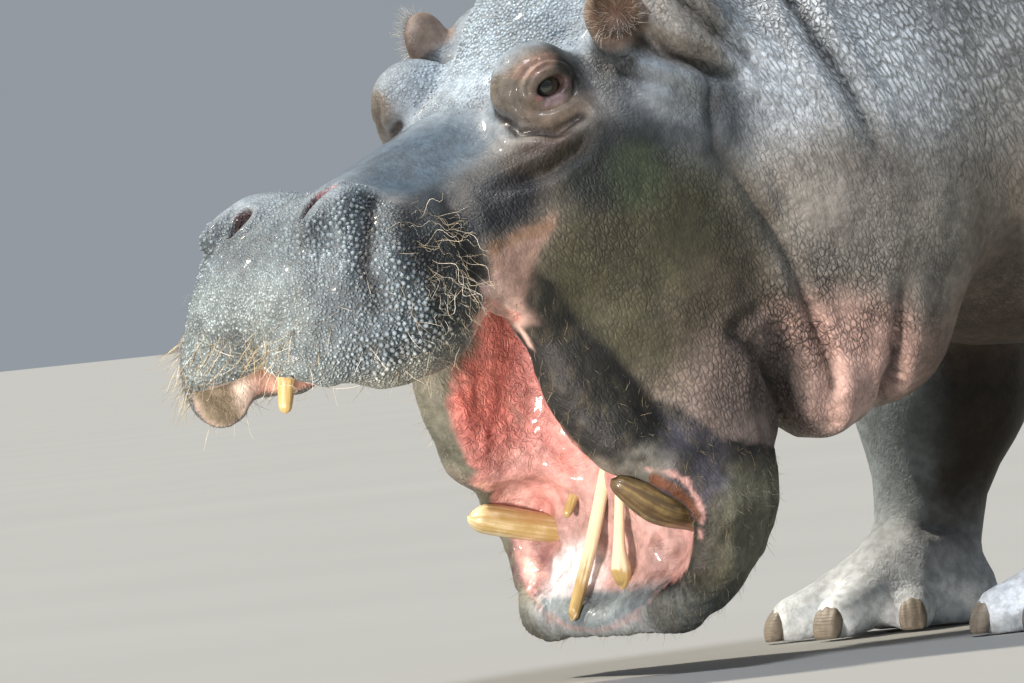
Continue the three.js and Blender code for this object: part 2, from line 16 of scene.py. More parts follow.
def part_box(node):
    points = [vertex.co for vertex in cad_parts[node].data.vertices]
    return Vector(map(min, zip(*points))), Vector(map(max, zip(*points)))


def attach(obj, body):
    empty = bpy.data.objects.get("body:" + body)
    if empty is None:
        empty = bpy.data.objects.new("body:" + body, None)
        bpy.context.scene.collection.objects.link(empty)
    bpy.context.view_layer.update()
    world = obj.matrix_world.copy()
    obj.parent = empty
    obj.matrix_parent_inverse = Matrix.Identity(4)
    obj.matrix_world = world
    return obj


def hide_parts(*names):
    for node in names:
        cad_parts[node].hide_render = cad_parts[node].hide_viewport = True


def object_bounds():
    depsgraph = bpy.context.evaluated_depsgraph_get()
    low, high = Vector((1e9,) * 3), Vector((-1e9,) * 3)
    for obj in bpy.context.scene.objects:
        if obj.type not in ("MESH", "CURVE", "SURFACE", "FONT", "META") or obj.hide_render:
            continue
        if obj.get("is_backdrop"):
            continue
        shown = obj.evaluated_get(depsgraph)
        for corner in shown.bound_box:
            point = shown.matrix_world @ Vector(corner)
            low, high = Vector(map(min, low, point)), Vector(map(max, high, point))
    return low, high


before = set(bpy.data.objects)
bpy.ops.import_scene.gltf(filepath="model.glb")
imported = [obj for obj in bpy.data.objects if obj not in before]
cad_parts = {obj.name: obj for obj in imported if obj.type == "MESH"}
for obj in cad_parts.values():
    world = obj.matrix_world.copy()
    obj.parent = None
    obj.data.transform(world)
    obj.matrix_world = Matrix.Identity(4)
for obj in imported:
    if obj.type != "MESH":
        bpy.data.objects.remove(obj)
cad_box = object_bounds()

MM = 0.001
FAR = 1000.0
SIDES = {"left": 1, "right": -1}


# ---------------------------------------------------------------- frames in the side view
class Pitched:
    """A frame pitched nose-down: places in it are (forward, sideways, up), in millimetres."""

    def __init__(self, y, z, degrees):
        self.y = y
        self.z = z
        self.degrees = degrees
        self.c = math.cos(math.radians(degrees))
        self.s = math.sin(math.radians(degrees))

    def point(self, f, x, u):
        return np.array([x, self.y - f * self.c - u * self.s, self.z - f * self.s + u * self.c])

    def places(self, p):
        dy = p[:, 1] - self.y
        dz = p[:, 2] - self.z
        return -dy * self.c - dz * self.s, p[:, 0], -dy * self.s + dz * self.c


WORLD = Pitched(0, 0, 0)
SKULL = Pitched(-573, 797, 20)
EYE = (0, 176, 0)
EYE_R = 21
HINGE = SKULL.point(-110, 0, -130)
JAW = Pitched(HINGE[1], HINGE[2], 88)


def middle(node):
    """The centre of a node's box, in metres."""
    low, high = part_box(node)
    return np.array([(a + b) / 2 for a, b in zip(low, high)])


# The frames count y from the toe tips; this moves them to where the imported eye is.
TO_ROW = middle("eye_left") / MM - SKULL.point(*EYE)


# ---------------------------------------------------------------- rounded masses
def melt(a, b, k):
    """The union of two fields, blended where they are within k of each other."""
    h = np.maximum(k - np.abs(a - b), 0) / k
    return np.minimum(a, b) - h * h * k / 4


def carve(a, b, k):
    """The first field with the second taken out of it, with a rounded edge."""
    return -melt(-a, b, k)


# A shape is left out where its ball is further off than this, in millimetres.
REACH = 150


class Shape:
    """A distance field with the ball that holds it, so that it can be left out where it is far."""

    def __init__(self, at, blend, centre, radius):
        self.at = at
        self.blend = blend
        self.centre = np.array(centre, float)
        self.radius = radius

    def near(self, low, high):
        for s in (1, -1):
            c = self.centre * (s, 1, 1)
            gap = np.maximum(np.maximum(low - c, c - high), 0)
            if np.linalg.norm(gap) < self.radius + REACH:
                return True
        return False


def mass(fr, place, radii, pair=False, pitch=0, yaw=0, blend=40):
    """An ellipsoid; place and radii are (forward, sideways, up), and a pair has a twin on -x."""
    centre = fr.point(*place)
    a = math.radians(fr.degrees + pitch)
    c, s = math.cos(a), math.sin(a)
    cy, sy = math.cos(math.radians(yaw)), math.sin(math.radians(yaw))
    rf, rx, ru = radii

    def at(p):
        dx = (np.abs(p[:, 0]) if pair else p[:, 0]) - centre[0]
        dy = p[:, 1] - centre[1]
        dz = p[:, 2] - centre[2]
        ahead = -dy * c - dz * s
        f = (ahead * cy + dx * sy) / rf
        w = (dx * cy - ahead * sy) / rx
        u = (-dy * s + dz * c) / ru
        out = np.sqrt(f * f + u * u + w * w) + 1e-6
        slope = np.sqrt((f / rf) ** 2 + (u / ru) ** 2 + (w / rx) ** 2) + 1e-9
        return out * (out - 1) / slope

    return Shape(at, blend, centre, max(radii))


def limb(fr, start, end, r_start, r_end, pair=False, wide=1, blend=40):
    """A tapering round limb from one place to another; wide stretches its section sideways."""
    a = fr.point(*start)
    b = fr.point(*end)
    along = (b - a) / (wide, 1, 1)
    long2 = along @ along

    def at(p):
        q = p - a
        if pair:
            q[:, 0] = np.abs(p[:, 0]) - a[0]
        q[:, 0] /= wide
        t = np.clip(q @ along / long2, 0, 1)
        ease = t * t * (3 - 2 * t)
        d = np.linalg.norm(q - t[:, None] * along, axis=1)
        return (d - (r_start + (r_end - r_start) * ease)) * min(1, wide)

    reach = np.linalg.norm(b - a) / 2 + max(r_start, r_end) * max(1, wide)
    return Shape(at, blend, (a + b) / 2, reach)


def chain(fr, rows, blend, pair=False):
    """Limbs end to end through rows of (forward, sideways, up, radius)."""
    return [
        limb(fr, a[:3], b[:3], a[3], b[3], pair=pair, blend=blend) for a, b in zip(rows, rows[1:])
    ]


def roll(fr, place, half_long, half_high, r, blend, lean):
    """A ring of flesh round an opening in the side of the head, such as the lids; a pair."""
    centre = fr.point(*place)

    def at(p):
        f, x, u = fr.places(p)
        f0, _, u0 = fr.places(centre[None])
        df = f - f0
        du = u - u0
        dx = np.abs(x) - centre[0] + lean * df
        around = np.arctan2(du / half_high, df / half_long)
        ring = np.hypot(df - half_long * np.cos(around), du - half_high * np.sin(around))
        return np.hypot(ring, dx) - r

    return Shape(at, blend, centre, max(half_long, half_high) + r)


def melted(shapes, p, low, high):
    """The field of shapes melted together, at places in the box from low to high."""
    d = np.full(len(p), FAR, np.float32)
    for s in shapes:
        if s.near(low, high):
            d = melt(d, s.at(p).astype(np.float32), s.blend)
    return d


# ---------------------------------------------------------------- the flesh
LEG_Y = {"fore_left": 262, "fore_right": 306, "hind_left": 1815, "hind_right": 1725}
STANCE = 280

TRUNK = [
    limb(WORLD, (-590, 0, 880), (-1700, 0, 890), 452, 455, wide=1.06),  # barrel of the ribs
    mass(WORLD, (-1190, 0, 800), (740, 520, 425), blend=130),  # belly
    mass(WORLD, (-480, 0, 1080), (400, 215, 305), blend=160),  # withers
    mass(WORLD, (-1640, 0, 1060), (480, 280, 350), blend=160),  # croup
    mass(WORLD, (-405, 300, 790), (235, 158, 360), pair=True, blend=90),  # shoulder blade
    mass(WORLD, (-1790, 285, 790), (310, 205, 360), pair=True, blend=90),  # haunch
    mass(WORLD, (-2070, 140, 810), (160, 190, 290), pair=True, blend=110),  # buttock
    mass(WORLD, (-270, 0, 620), (250, 240, 225), blend=110),  # brisket
    mass(WORLD, (-2160, 0, 1010), (90, 70, 90), blend=90),  # root of the tail
]

NECK = [
    limb(WORLD, (-420, 0, 890), (270, 0, 745), 420, 258, blend=140),  # neck muscles
    limb(WORLD, (-420, 0, 1120), (378, 0, 868), 245, 106, blend=120),  # nape
    mass(WORLD, (120, 200, 640), (230, 120, 250), pair=True, blend=80),  # side of the neck
    mass(WORLD, (172, 168, 418), (84, 84, 126), pair=True, blend=40),  # jowl
    mass(WORLD, (58, 150, 448), (108, 110, 118), pair=True, blend=40),  # second jowl
    mass(WORLD, (130, 0, 470), (170, 170, 135), blend=70),  # throat
]

HEAD = [
    mass(SKULL, (-176, 0, -10), (150, 128, 116)),  # brain case and crown
    mass(SKULL, (-120, 0, -120), (190, 205, 130), blend=70),  # back of the skull
    mass(SKULL, (-190, 205, -20), (85, 62, 85), pair=True, blend=50),  # fold behind the ear
    mass(SKULL, (-75, 160, -150), (170, 95, 130), pair=True, blend=60),  # cheek bone
    mass(SKULL, (-6, 150, 4), (60, 54, 57), pair=True, blend=28),  # eye turret
    limb(SKULL, (100, 140, -98), (-4, 168, -74), 24, 34, pair=True, blend=30),  # fold under it
    limb(SKULL, (0, 0, -98), (300, 0, -112), 106, 98, wide=1.2, blend=60),  # bridge
    mass(SKULL, (325, 108, -146), (138, 104, 118), pair=True, pitch=12, blend=36),  # muzzle
    mass(SKULL, (306, 138, -196), (112, 68, 78), pair=True, blend=30),  # rear of the lip
    limb(SKULL, (408, 88, -130), (446, 104, -178), 72, 62, pair=True, blend=36),  # front lip
    limb(SKULL, (430, -98, -160), (472, -100, -216), 60, 52, blend=30),  # its hanging right lobe
    mass(SKULL, (392, 0, -118), (80, 90, 78), blend=60),  # between the nostrils
    mass(SKULL, (322, 82, -48), (66, 50, 45), pair=True, pitch=10, blend=30),  # nostril
    mass(SKULL, (110, 118, -150), (190, 78, 70), pair=True, blend=60),  # over the gums
]

LIP = [
    (150, 150, 216, 28),
    (300, 152, 128, 31),
    (398, 182, 72, 36),
    (446, 212, 4, 31),
    (498, 234, -38, 27),
    (560, 220, -40, 27),
    (620, 160, -16, 30),
    (628, 0, 16, 30),
]
LOWER_JAW = [
    mass(JAW, (528, 122, -62), (112, 96, 88), pair=True, blend=60),  # chin
    mass(JAW, (540, 0, -62), (104, 150, 84), blend=60),  # middle of the chin
    mass(JAW, (455, 160, -70), (96, 74, 92), pair=True, blend=50),  # tusk socket
    limb(JAW, (170, 150, -60), (480, 142, -64), 112, 92, pair=True, blend=60),  # jaw bone
    mass(JAW, (90, 172, -30), (205, 92, 170), pair=True, blend=70),  # chewing muscle
    mass(JAW, (300, 0, -105), (260, 170, 75), blend=70),  # floor of the mouth
    *chain(JAW, LIP, blend=34, pair=True),  # lip, from the corner round the chin
    mass(JAW, (100, 160, 120), (140, 44, 125), pair=True, pitch=-34, blend=50),  # cheek behind it
    mass(JAW, (250, 156, 36), (160, 46, 78), pair=True, pitch=-34, blend=50),
]

TAIL = [
    (-2130, 0, 1045, 58),
    (-2215, 0, 985, 48),
    (-2262, 0, 880, 33),
    (-2282, 0, 740, 23),
    (-2286, 0, 628, 14),
]

EARS = [
    limb(SKULL, (-118, 175, -6), (-112, 212, 26), 30, 26, pair=True, blend=20),
    mass(SKULL, (-112, 232, 52), (40, 24, 42), pair=True, yaw=-25, blend=20),
]
EAR_CUP = mass(SKULL, (-100, 254, 60), (27, 26, 31), pair=True, yaw=-25)


def gape(p):
    """The open wedge between the palate and the tongue's bed."""
    f, _, u = SKULL.places(p)
    g, x, v = JAW.places(p)
    roof = u + 196 - 0.11 * np.maximum(0, 400 - f)
    return np.max([roof, 22 - v, np.abs(x) - 112, -f - 20, -g - 20], axis=0)


MOUTH = [
    Shape(gape, 30, JAW.point(300, 0, 200), 600),
    mass(JAW, (350, 0, 48), (240, 118, 90), blend=30),  # trough of the jaw
    mass(JAW, (530, 0, 30), (92, 150, 66), blend=36),  # basin inside the chin
    mass(JAW, (516, 140, 16), (80, 88, 56), pair=True, blend=30),  # its sides, by the tusks
    mass(SKULL, (300, 0, -262), (170, 138, 72), blend=30),  # vault of the palate
    mass(SKULL, (466, 62, -272), (88, 88, 88), blend=26),  # where the lip is drawn up
]

TONGUE = [
    limb(JAW, (110, 0, 24), (220, 0, 6), 26, 34, wide=2, blend=12),
    limb(JAW, (220, 0, 6), (330, 0, -8), 34, 31, wide=2, blend=12),
    limb(JAW, (330, 0, -8), (408, 0, -14), 31, 17, wide=2, blend=12),
]

TOES = [(-52, 112, 33, 20), (-18, 182, 36, 24), (18, 182, 36, 24), (52, 112, 33, 20)]


def leg_of(name, y):
    """A leg's masses and its toes, each toe a (tip, turn in degrees, radius, half width of nail)."""
    x = STANCE if name.endswith("left") else -STANCE
    fore = name.startswith("fore")
    size = 1 if fore else 0.94
    heel = -y + 10
    if fore:
        knee = (-(y + 38), x, 335)
        shapes = [
            limb(WORLD, (-(y + 85), x * 1.02, 660), knee, 180, 125, blend=70),
            limb(WORLD, knee, (-(y - 4), x, 160), 125, 80, blend=20),
        ]
    else:
        hock = (-(y + 50), x, 345)
        shapes = [
            limb(WORLD, (-(y - 60), x, 660), hock, 215, 120, blend=70),
            limb(WORLD, hock, (-(y + 14), x, 160), 120, 80, blend=20),
        ]
    shapes.append(mass(WORLD, (heel - 5, x, 40), (88 * size, 92 * size, 84), blend=40))
    toes = []
    for turn, reach, r, nail in TOES:
        a = math.radians(turn)
        out = reach * size
        tip = (heel + 30 + out * math.cos(a), x + out * math.sin(a), r * size * 0.8)
        shapes.append(limb(WORLD, (heel + 22, x, 84 * size), tip, 72 * size, r * size, blend=24))
        toes.append((tip, turn, r * size, nail))
    return shapes, toes


LEGS = {name: leg_of(name, y) for name, y in LEG_Y.items()}
BODY = TRUNK + NECK + [s for shapes, _ in LEGS.values() for s in shapes]
BODY += chain(WORLD, TAIL, blend=24)
FACE = HEAD + LOWER_JAW

# Finer forms, which only the skin has.
FACE_DETAIL = [
    roll(SKULL, (2, 189, 2), 30, 21, 9.5, blend=9, lean=0.10),  # lids
    roll(SKULL, (0, 192, -1), 25, 15, 5.5, blend=4, lean=0.10),  # their wet edges
    mass(SKULL, (352, 116, -20), (52, 20, 22), pair=True, pitch=8, yaw=10, blend=26),  # nostril wing
    mass(SKULL, (256, 152, -132), (62, 46, 66), pair=True, blend=20),  # rear pad of the lip
]
OPENINGS = [
    (mass(SKULL, (2, 206, 0), (23, 26, 13), pair=True, yaw=-8), 4),  # between the lids
    (mass(SKULL, (340, 94, -8), (38, 15, 30), pitch=10, yaw=14), 8),  # left nostril
    (mass(SKULL, (360, -78, -22), (22, 13, 34), pitch=30, yaw=-20), 8),  # right nostril
    (EAR_CUP, 8),
]


def skin_at(p):
    """How far points are outside the skin, in millimetres, and below 0 inside it."""
    low, high = p.min(axis=0), p.max(axis=0)
    d = melt(melted(FACE, p, low, high), melted(BODY, p, low, high), 70)
    mouth = melted(MOUTH, p, low, high)
    d = carve(d, mouth, 24)
    d = melt(d, melted(TONGUE, p, low, high), 20)
    d = melt(d, melted(EARS, p, low, high), 14)
    for s in FACE_DETAIL:
        if s.near(low, high):
            d = melt(d, s.at(p), s.blend)
    for s, soft in OPENINGS:
        if s.near(low, high):
            d = carve(d, s.at(p), soft)
    return np.maximum(d, -p[:, 2])


# The side of the blocks of space that are worked out together, in millimetres.
BLOCK = 220


def evaluate(field, points):
    """The field at points, a block of space at a time, so that only shapes near it are worked out."""
    key = np.floor(points / BLOCK).astype(np.int64) @ (1, 1000, 1000000)
    order = np.argsort(key, kind="stable")
    ends = np.flatnonzero(np.diff(key[order])) + 1
    out = np.empty(len(points), np.float32)
    for part in np.split(order, ends):
        out[part] = field(points[part])
    return out


# ---------------------------------------------------------------- from field to mesh
def grid_of(field, low, high, step):
    """The field on a grid, worked out only in blocks of 4x4x4 points that the surface may cross."""
    low = np.array(low, float)
    blocks = np.ceil((np.array(high) - low) / (4 * step)).astype(int)
    ijk = np.stack(np.meshgrid(*map(np.arange, blocks), indexing="ij"), -1).reshape(-1, 3)
    d = evaluate(field, low + (4 * ijk + 1.5) * step)
    near = np.flatnonzero(np.abs(d) < 8 * step)
    inner = np.stack(np.meshgrid(*[np.arange(4)] * 3, indexing="ij"), -1).reshape(-1, 3)
    fine = low + (4 * ijk[near][:, None, :] + inner[None]) * step
    values = np.repeat(np.sign(d)[:, None] * FAR, 64, axis=1).astype(np.float32)
    values[near] = evaluate(field, fine.reshape(-1, 3)).reshape(-1, 64)
    values = values.reshape(*blocks, 4, 4, 4).transpose(0, 3, 1, 4, 2, 5)
    return values.reshape(blocks * 4)


def surface_of(grid, low, step):
    """Surface nets: a point in each cell that the surface crosses, a quad for each crossed edge."""
    inside = grid < 0
    n = np.array(grid.shape)
    corner = lambda a, b, c: np.s_[a:n[0] - 1 + a, b:n[1] - 1 + b, c:n[2] - 1 + c]
    full = sum(inside[corner(*o)].astype(np.int8) for o in np.ndindex(2, 2, 2))
    crossed = (full > 0) & (full < 8)
    ids = np.full(crossed.shape, -1, np.int64)
    cells = np.argwhere(crossed)
    ids[crossed] = np.arange(len(cells))
    value = {o: grid[corner(*o)][crossed] for o in np.ndindex(2, 2, 2)}
    total = np.zeros((len(cells), 3))
    count = np.zeros(len(cells))
    for p in value:
        for axis in range(3):
            if p[axis]:
                continue
            q = tuple(1 if a == axis else v for a, v in enumerate(p))
            cut = (value[p] < 0) != (value[q] < 0)
            t = np.where(cut, value[p] / np.where(cut, value[p] - value[q], 1), 0)
            place = np.tile(np.array(p, float), (len(cells), 1))
            place[:, axis] = t
            total += place * cut[:, None]
            count += cut
    points = np.array(low) + (cells + total / count[:, None]) * step
    quads = []
    for axis in range(3):
        b, c = (axis + 1) % 3, (axis + 2) % 3
        here = inside[tuple(slice(0, n[a] - 1) if a == axis else slice(1, n[a] - 1) for a in range(3))]
        there = inside[tuple(slice(1, n[a]) if a == axis else slice(1, n[a] - 1) for a in range(3))]
        for flip in (False, True):
            at = np.argwhere((here != there) & (here == flip))
            at[:, b] += 1
            at[:, c] += 1
            ring = []
            for db, dc in ((0, 0), (-1, 0), (-1, -1), (0, -1)):
                cell = at.copy()
                cell[:, b] += db
                cell[:, c] += dc
                ring.append(ids[tuple(cell.T)])
            quads.append(np.stack(ring if flip else ring[::-1], 1))
    quads = np.concatenate(quads)
    return points, quads[(quads >= 0).all(axis=1)]


def slope_of(field, p):
    """The field at points, and how it rises over a millimetre along each axis."""
    d = evaluate(field, p)
    grad = np.empty_like(p)
    for a in range(3):
        q = p.copy()
        q[:, a] += 1
        grad[:, a] = evaluate(field, q) - d
    return d, grad


def settle(field, p, rounds, most):
    """Moves points onto the surface along the field's slope, by at most so far in each round."""
    for _ in range(rounds):
        d, grad = slope_of(field, p)
        steep = np.maximum((grad**2).sum(axis=1), 0.2)
        move = -(d / steep)[:, None] * grad
        length = np.linalg.norm(move, axis=1, keepdims=True)
        p = p + move * np.minimum(1, most / np.maximum(length, 1e-9))
    return p


def shade_smooth(mesh):
    mesh.polygons.foreach_set("use_smooth", np.ones(len(mesh.polygons), bool))


def mesh_of(name, points, faces):
    """A smooth-shaded mesh from points and faces of one size."""
    me = bpy.data.meshes.new(name)
    faces = np.asarray(faces)
    me.vertices.add(len(points))
    me.vertices.foreach_set("co", np.asarray(points, np.float32).ravel())
    me.loops.add(faces.size)
    me.loops.foreach_set("vertex_index", faces.astype(np.int32).ravel())
    me.polygons.add(len(faces))
    me.polygons.foreach_set("loop_start", np.arange(len(faces), dtype=np.int32) * faces.shape[1])
    me.update(calc_edges=True)
    me.validate()
    shade_smooth(me)
    return me


def store(mesh, name, values):
    """Keeps a number, a vector or a colour for each point of a mesh."""
    values = np.asarray(values, np.float32)
    kinds = {1: ("FLOAT", "value"), 3: ("FLOAT_VECTOR", "vector"), 4: ("FLOAT_COLOR", "color")}
    kind, key = kinds[values[0].size]
    mesh.attributes.new(name, kind, "POINT").data.foreach_set(key, values.ravel())


def object_of(mesh, *materials):
    """An object in the scene that shows a mesh."""
    o = bpy.data.objects.new(mesh.name, mesh)
    bpy.context.scene.collection.objects.link(o)
    for m in materials:
        mesh.materials.append(m)
    return o


def arrays_of(mesh):
    """A mesh's points and its triangles."""
    p = np.empty(len(mesh.vertices) * 3, np.float32)
    mesh.vertices.foreach_get("co", p)
    mesh.calc_loop_triangles()
    t = np.empty(len(mesh.loop_triangles) * 3, np.int32)
    mesh.loop_triangles.foreach_get("vertices", t)
    return p.reshape(-1, 3).astype(float), t.reshape(-1, 3)


def normals_of(p, t):
    """The direction out of the surface at each point."""
    face = np.cross(p[t[:, 1]] - p[t[:, 0]], p[t[:, 2]] - p[t[:, 0]])
    n = np.zeros_like(p)
    for k in range(3):
        np.add.at(n, t[:, k], face)
    return n / np.maximum(np.linalg.norm(n, axis=1, keepdims=True), 1e-12)


def thinned(points, quads, keep, ratio):
    """Collapses edges until a ratio of the triangles is left, and least where keep is high."""
    o = object_of(mesh_of("thinned", points, quads))
    group = o.vertex_groups.new(name="thin")
    levels = np.round((1 - keep) * 10).astype(int)
    for level in range(1, 11):
        group.add(np.flatnonzero(levels == level).tolist(), level / 10, "REPLACE")
    m = o.modifiers.new("thin", "DECIMATE")
    m.ratio = ratio
    m.vertex_group = group.name
    m.vertex_group_factor = 10
    m.use_collapse_triangulate = True
    made = bpy.data.meshes.new_from_object(o.evaluated_get(bpy.context.evaluated_depsgraph_get()))
    p, t = arrays_of(made)
    bpy.data.objects.remove(o)
    bpy.data.meshes.remove(made)
    return p, t


def refined(p, t, fine, longest):
    """Splits edges over so many millimetres where fine is true for both ends."""
    me = mesh_of("refined", p, t)
    bm = bmesh.new()
    bm.from_mesh(me)
    bm.verts.ensure_lookup_table()
    length = lambda e: (e.verts[0].co - e.verts[1].co).length
    edges = [
        e for e in bm.edges if fine[e.verts[0].index] and fine[e.verts[1].index] and length(e) > longest
    ]
    bmesh.ops.subdivide_edges(bm, edges=edges, cuts=1)
    bmesh.ops.triangulate(bm, faces=bm.faces)
    bm.to_mesh(me)
    bm.free()
    out = arrays_of(me)
    bpy.data.meshes.remove(me)
    return out


# ---------------------------------------------------------------- marks on the skin
def smooth(t):
    """Eases from 0 to 1 as t goes from 0 to 1, and stays there outside."""
    t = np.clip(t, 0, 1)
    return t * t * (3 - 2 * t)


def spot(p, fr, place, radii, soft=0.5, pair=True):
    """1 in the middle of an ellipsoid, fading to 0 at its edge over a soft share of its radius."""
    f, x, u = fr.places(p)
    if pair:
        x = np.abs(x)
    offset = np.stack([f, x, u], 1) - place
    return smooth((1 - np.linalg.norm(offset / np.array(radii, float), axis=1)) / soft)


def along(p, fr, rows, pair=True):
    """Distance to a bent line of (forward, sideways, up, value), and the value at its nearest place."""
    q = p.copy()
    if pair:
        q[:, 0] = np.abs(q[:, 0])
    best = np.full(len(p), FAR)
    value = np.zeros(len(p))
    for a, b in zip(rows, rows[1:]):
        start, end = fr.point(*a[:3]), fr.point(*b[:3])
        line = end - start
        t = np.clip((q - start) @ line / (line @ line), 0, 1)
        d = np.linalg.norm(q - start - t[:, None] * line, axis=1)
        nearer = d < best
        best[nearer] = d[nearer]
        value[nearer] = (a[3] + (b[3] - a[3]) * t)[nearer]
    return best, value


def region(p, fr, outline, soft=8.0, least_x=100):
    """1 inside an outline of (forward, up) places in the side view, fading over its wandering edge."""
    f, x, u = fr.places(p)
    f = f + 7 * lumps(p, 24, 30)
    u = u + 7 * lumps(p, 24, 31)
    d = np.full(len(p), FAR)
    inside = np.zeros(len(p), bool)
    for (fa, ua), (fb, ub) in zip(outline, outline[1:] + outline[:1]):
        long2 = (fb - fa) ** 2 + (ub - ua) ** 2
        t = np.clip(((f - fa) * (fb - fa) + (u - ua) * (ub - ua)) / long2, 0, 1)
        d = np.minimum(d, np.hypot(f - fa - t * (fb - fa), u - ua - t * (ub - ua)))
        inside ^= ((ua > u) != (ub > u)) & (f < fa + (fb - fa) * (u - ua) / (ub - ua + 1e-9))
    return smooth(0.5 + np.where(inside, d, -d) / (2 * soft)) * (np.abs(x) > least_x)


# These turn a cell's place into a number that jumps about, so that it can stand in for chance.
SCATTER = np.array([127.1, 311.7, 74.7])
SCATTER_BY = 43758.5453


def lumps(p, size, seed):
    """Smooth noise from -1 to 1, with lumps about so many millimetres apart."""
    q = p / size + 31.7 * seed
    cell = np.floor(q)
    t = q - cell
    t = t * t * (3 - 2 * t)
    total = np.zeros(len(p))
    for corner in np.ndindex(2, 2, 2):
        h = np.sin((cell + corner) @ SCATTER) * SCATTER_BY
        total += (h - np.floor(h)) * np.prod(np.where(corner, t, 1 - t), axis=1)
    return 2 * total - 1


def side_ring(p, f0, u0, half_long, half_high, above):
    """Distance, in the side view, to an oval round a place on the skull's flank."""
    f, x, u = SKULL.places(p)
    a = np.arctan2((u - u0) / half_high, (f - f0) / half_long)
    d = np.hypot(f - f0 - half_long * np.cos(a), u - u0 - half_high * np.sin(a))
    return np.where((np.abs(x) > 140) & (np.sin(a) > above), d, FAR)


# Folds: (frame, rows of forward, sideways, up and depth, half width), in millimetres.
FOLDS = [
    (SKULL, [(48, 120, -10, 4), (60, 172, -38, 12), (30, 208, -54, 14), (-8, 222, -50, 8)], 8),  # eye
    (SKULL, [(150, 176, -92, 2), (110, 196, -92, 10), (65, 216, -96, 12), (22, 232, -88, 9),
             (0, 236, -70, 3)], 8),
    (SKULL, [(28, 150, 46, 3), (49, 148, 16, 5), (55, 160, -24, 4)], 6),
    (SKULL, [(-60, 196, 10, 2), (-84, 226, -14, 7), (-104, 250, -44, 6), (-130, 262, -70, 2)], 9),  # ear
    (SKULL, [(-128, 232, 12, 9), (-140, 258, -22, 13), (-182, 272, -56, 9), (-230, 280, -96, 2)], 11),
    (WORLD, [(378, 266, 812, 3), (374, 275, 765, 9), (377, 279, 690, 6), (346, 284, 647, 6),
             (321, 286, 603, 8), (286, 281, 549, 9), (238, 256, 462, 12), (208, 244, 405, 14),
             (197, 232, 360, 14), (190, 205, 318, 14)], 9),  # cheek and jowls
    (WORLD, [(362, 261, 446, 5), (315, 227, 408, 13), (268, 190, 370, 20), (240, 170, 329, 22),
             (236, 150, 300, 16)], 12),
    (WORLD, [(366, 262, 452, 6), (330, 262, 470, 6), (300, 264, 480, 3)], 8),
    (WORLD, [(110, 290, 500, 3), (102, 285, 457, 12), (100, 263, 416, 18), (97, 215, 360, 20),
             (96, 187, 338, 18)], 12),
    (WORLD, [(215, 130, 950, 8), (207, 252, 875, 18), (199, 281, 824, 20), (184, 298, 782, 20),
             (168, 308, 743, 17), (150, 318, 697, 10), (130, 325, 640, 3)], 13),  # neck
    (WORLD, [(405, 230, 918, 4), (380, 259, 886, 12), (349, 267, 850, 15), (308, 271, 813, 12),
             (293, 280, 784, 3)], 12),
    (WORLD, [(470, 246, 872, 6), (460, 253, 855, 13), (425, 256, 830, 16), (391, 261, 811, 15),
             (365, 268, 795, 10), (325, 275, 782, 2)], 10),
    (WORLD, [(474, 231, 802, 5), (470, 240, 820, 9), (450, 254, 826, 4)], 7),
    (WORLD, [(330, 246, 420, 4), (313, 230, 298, 8), (303, 225, 257, 9), (305, 224, 217, 7),
             (315, 208, 165, 3)], 8),
    (SKULL, [(392, -10, -28, 6), (430, -14, -70, 12), (466, -10, -110, 10), (488, 0, -170, 5)], 10),  # muzzle
    (SKULL, [(262, 120, -34, 6), (296, 140, -36, 15), (334, 170, -61, 17), (371, 190, -96, 14),
             (380, 200, -150, 6)], 15),
    (SKULL, [(190, 150, -80, 8), (214, 185, -120, 16), (216, 196, -180, 10)], 14),
    (JAW, [(460, 196, -78, 3), (505, 200, -60, 8), (545, 196, -80, 5)], 9),  # chin
    (JAW, [(470, 224, -44, 3), (500, 228, -30, 6), (548, 216, -36, 4)], 6),
    (WORLD, [(-180, -210, 150, 5), (-245, -205, 146, 8), (-330, -215, 132, 6)], 9),  # wrists
    (WORLD, [(-180, 210, 150, 5), (-245, 205, 146, 8), (-330, 215, 132, 6)], 9),
]


def fold_at(p, fr, rows):
    """Distance to a fold and its depth there. One in world places on the right has no twin."""
    return along(p, fr, rows, pair=fr is not WORLD or rows[0][1] >= 0)


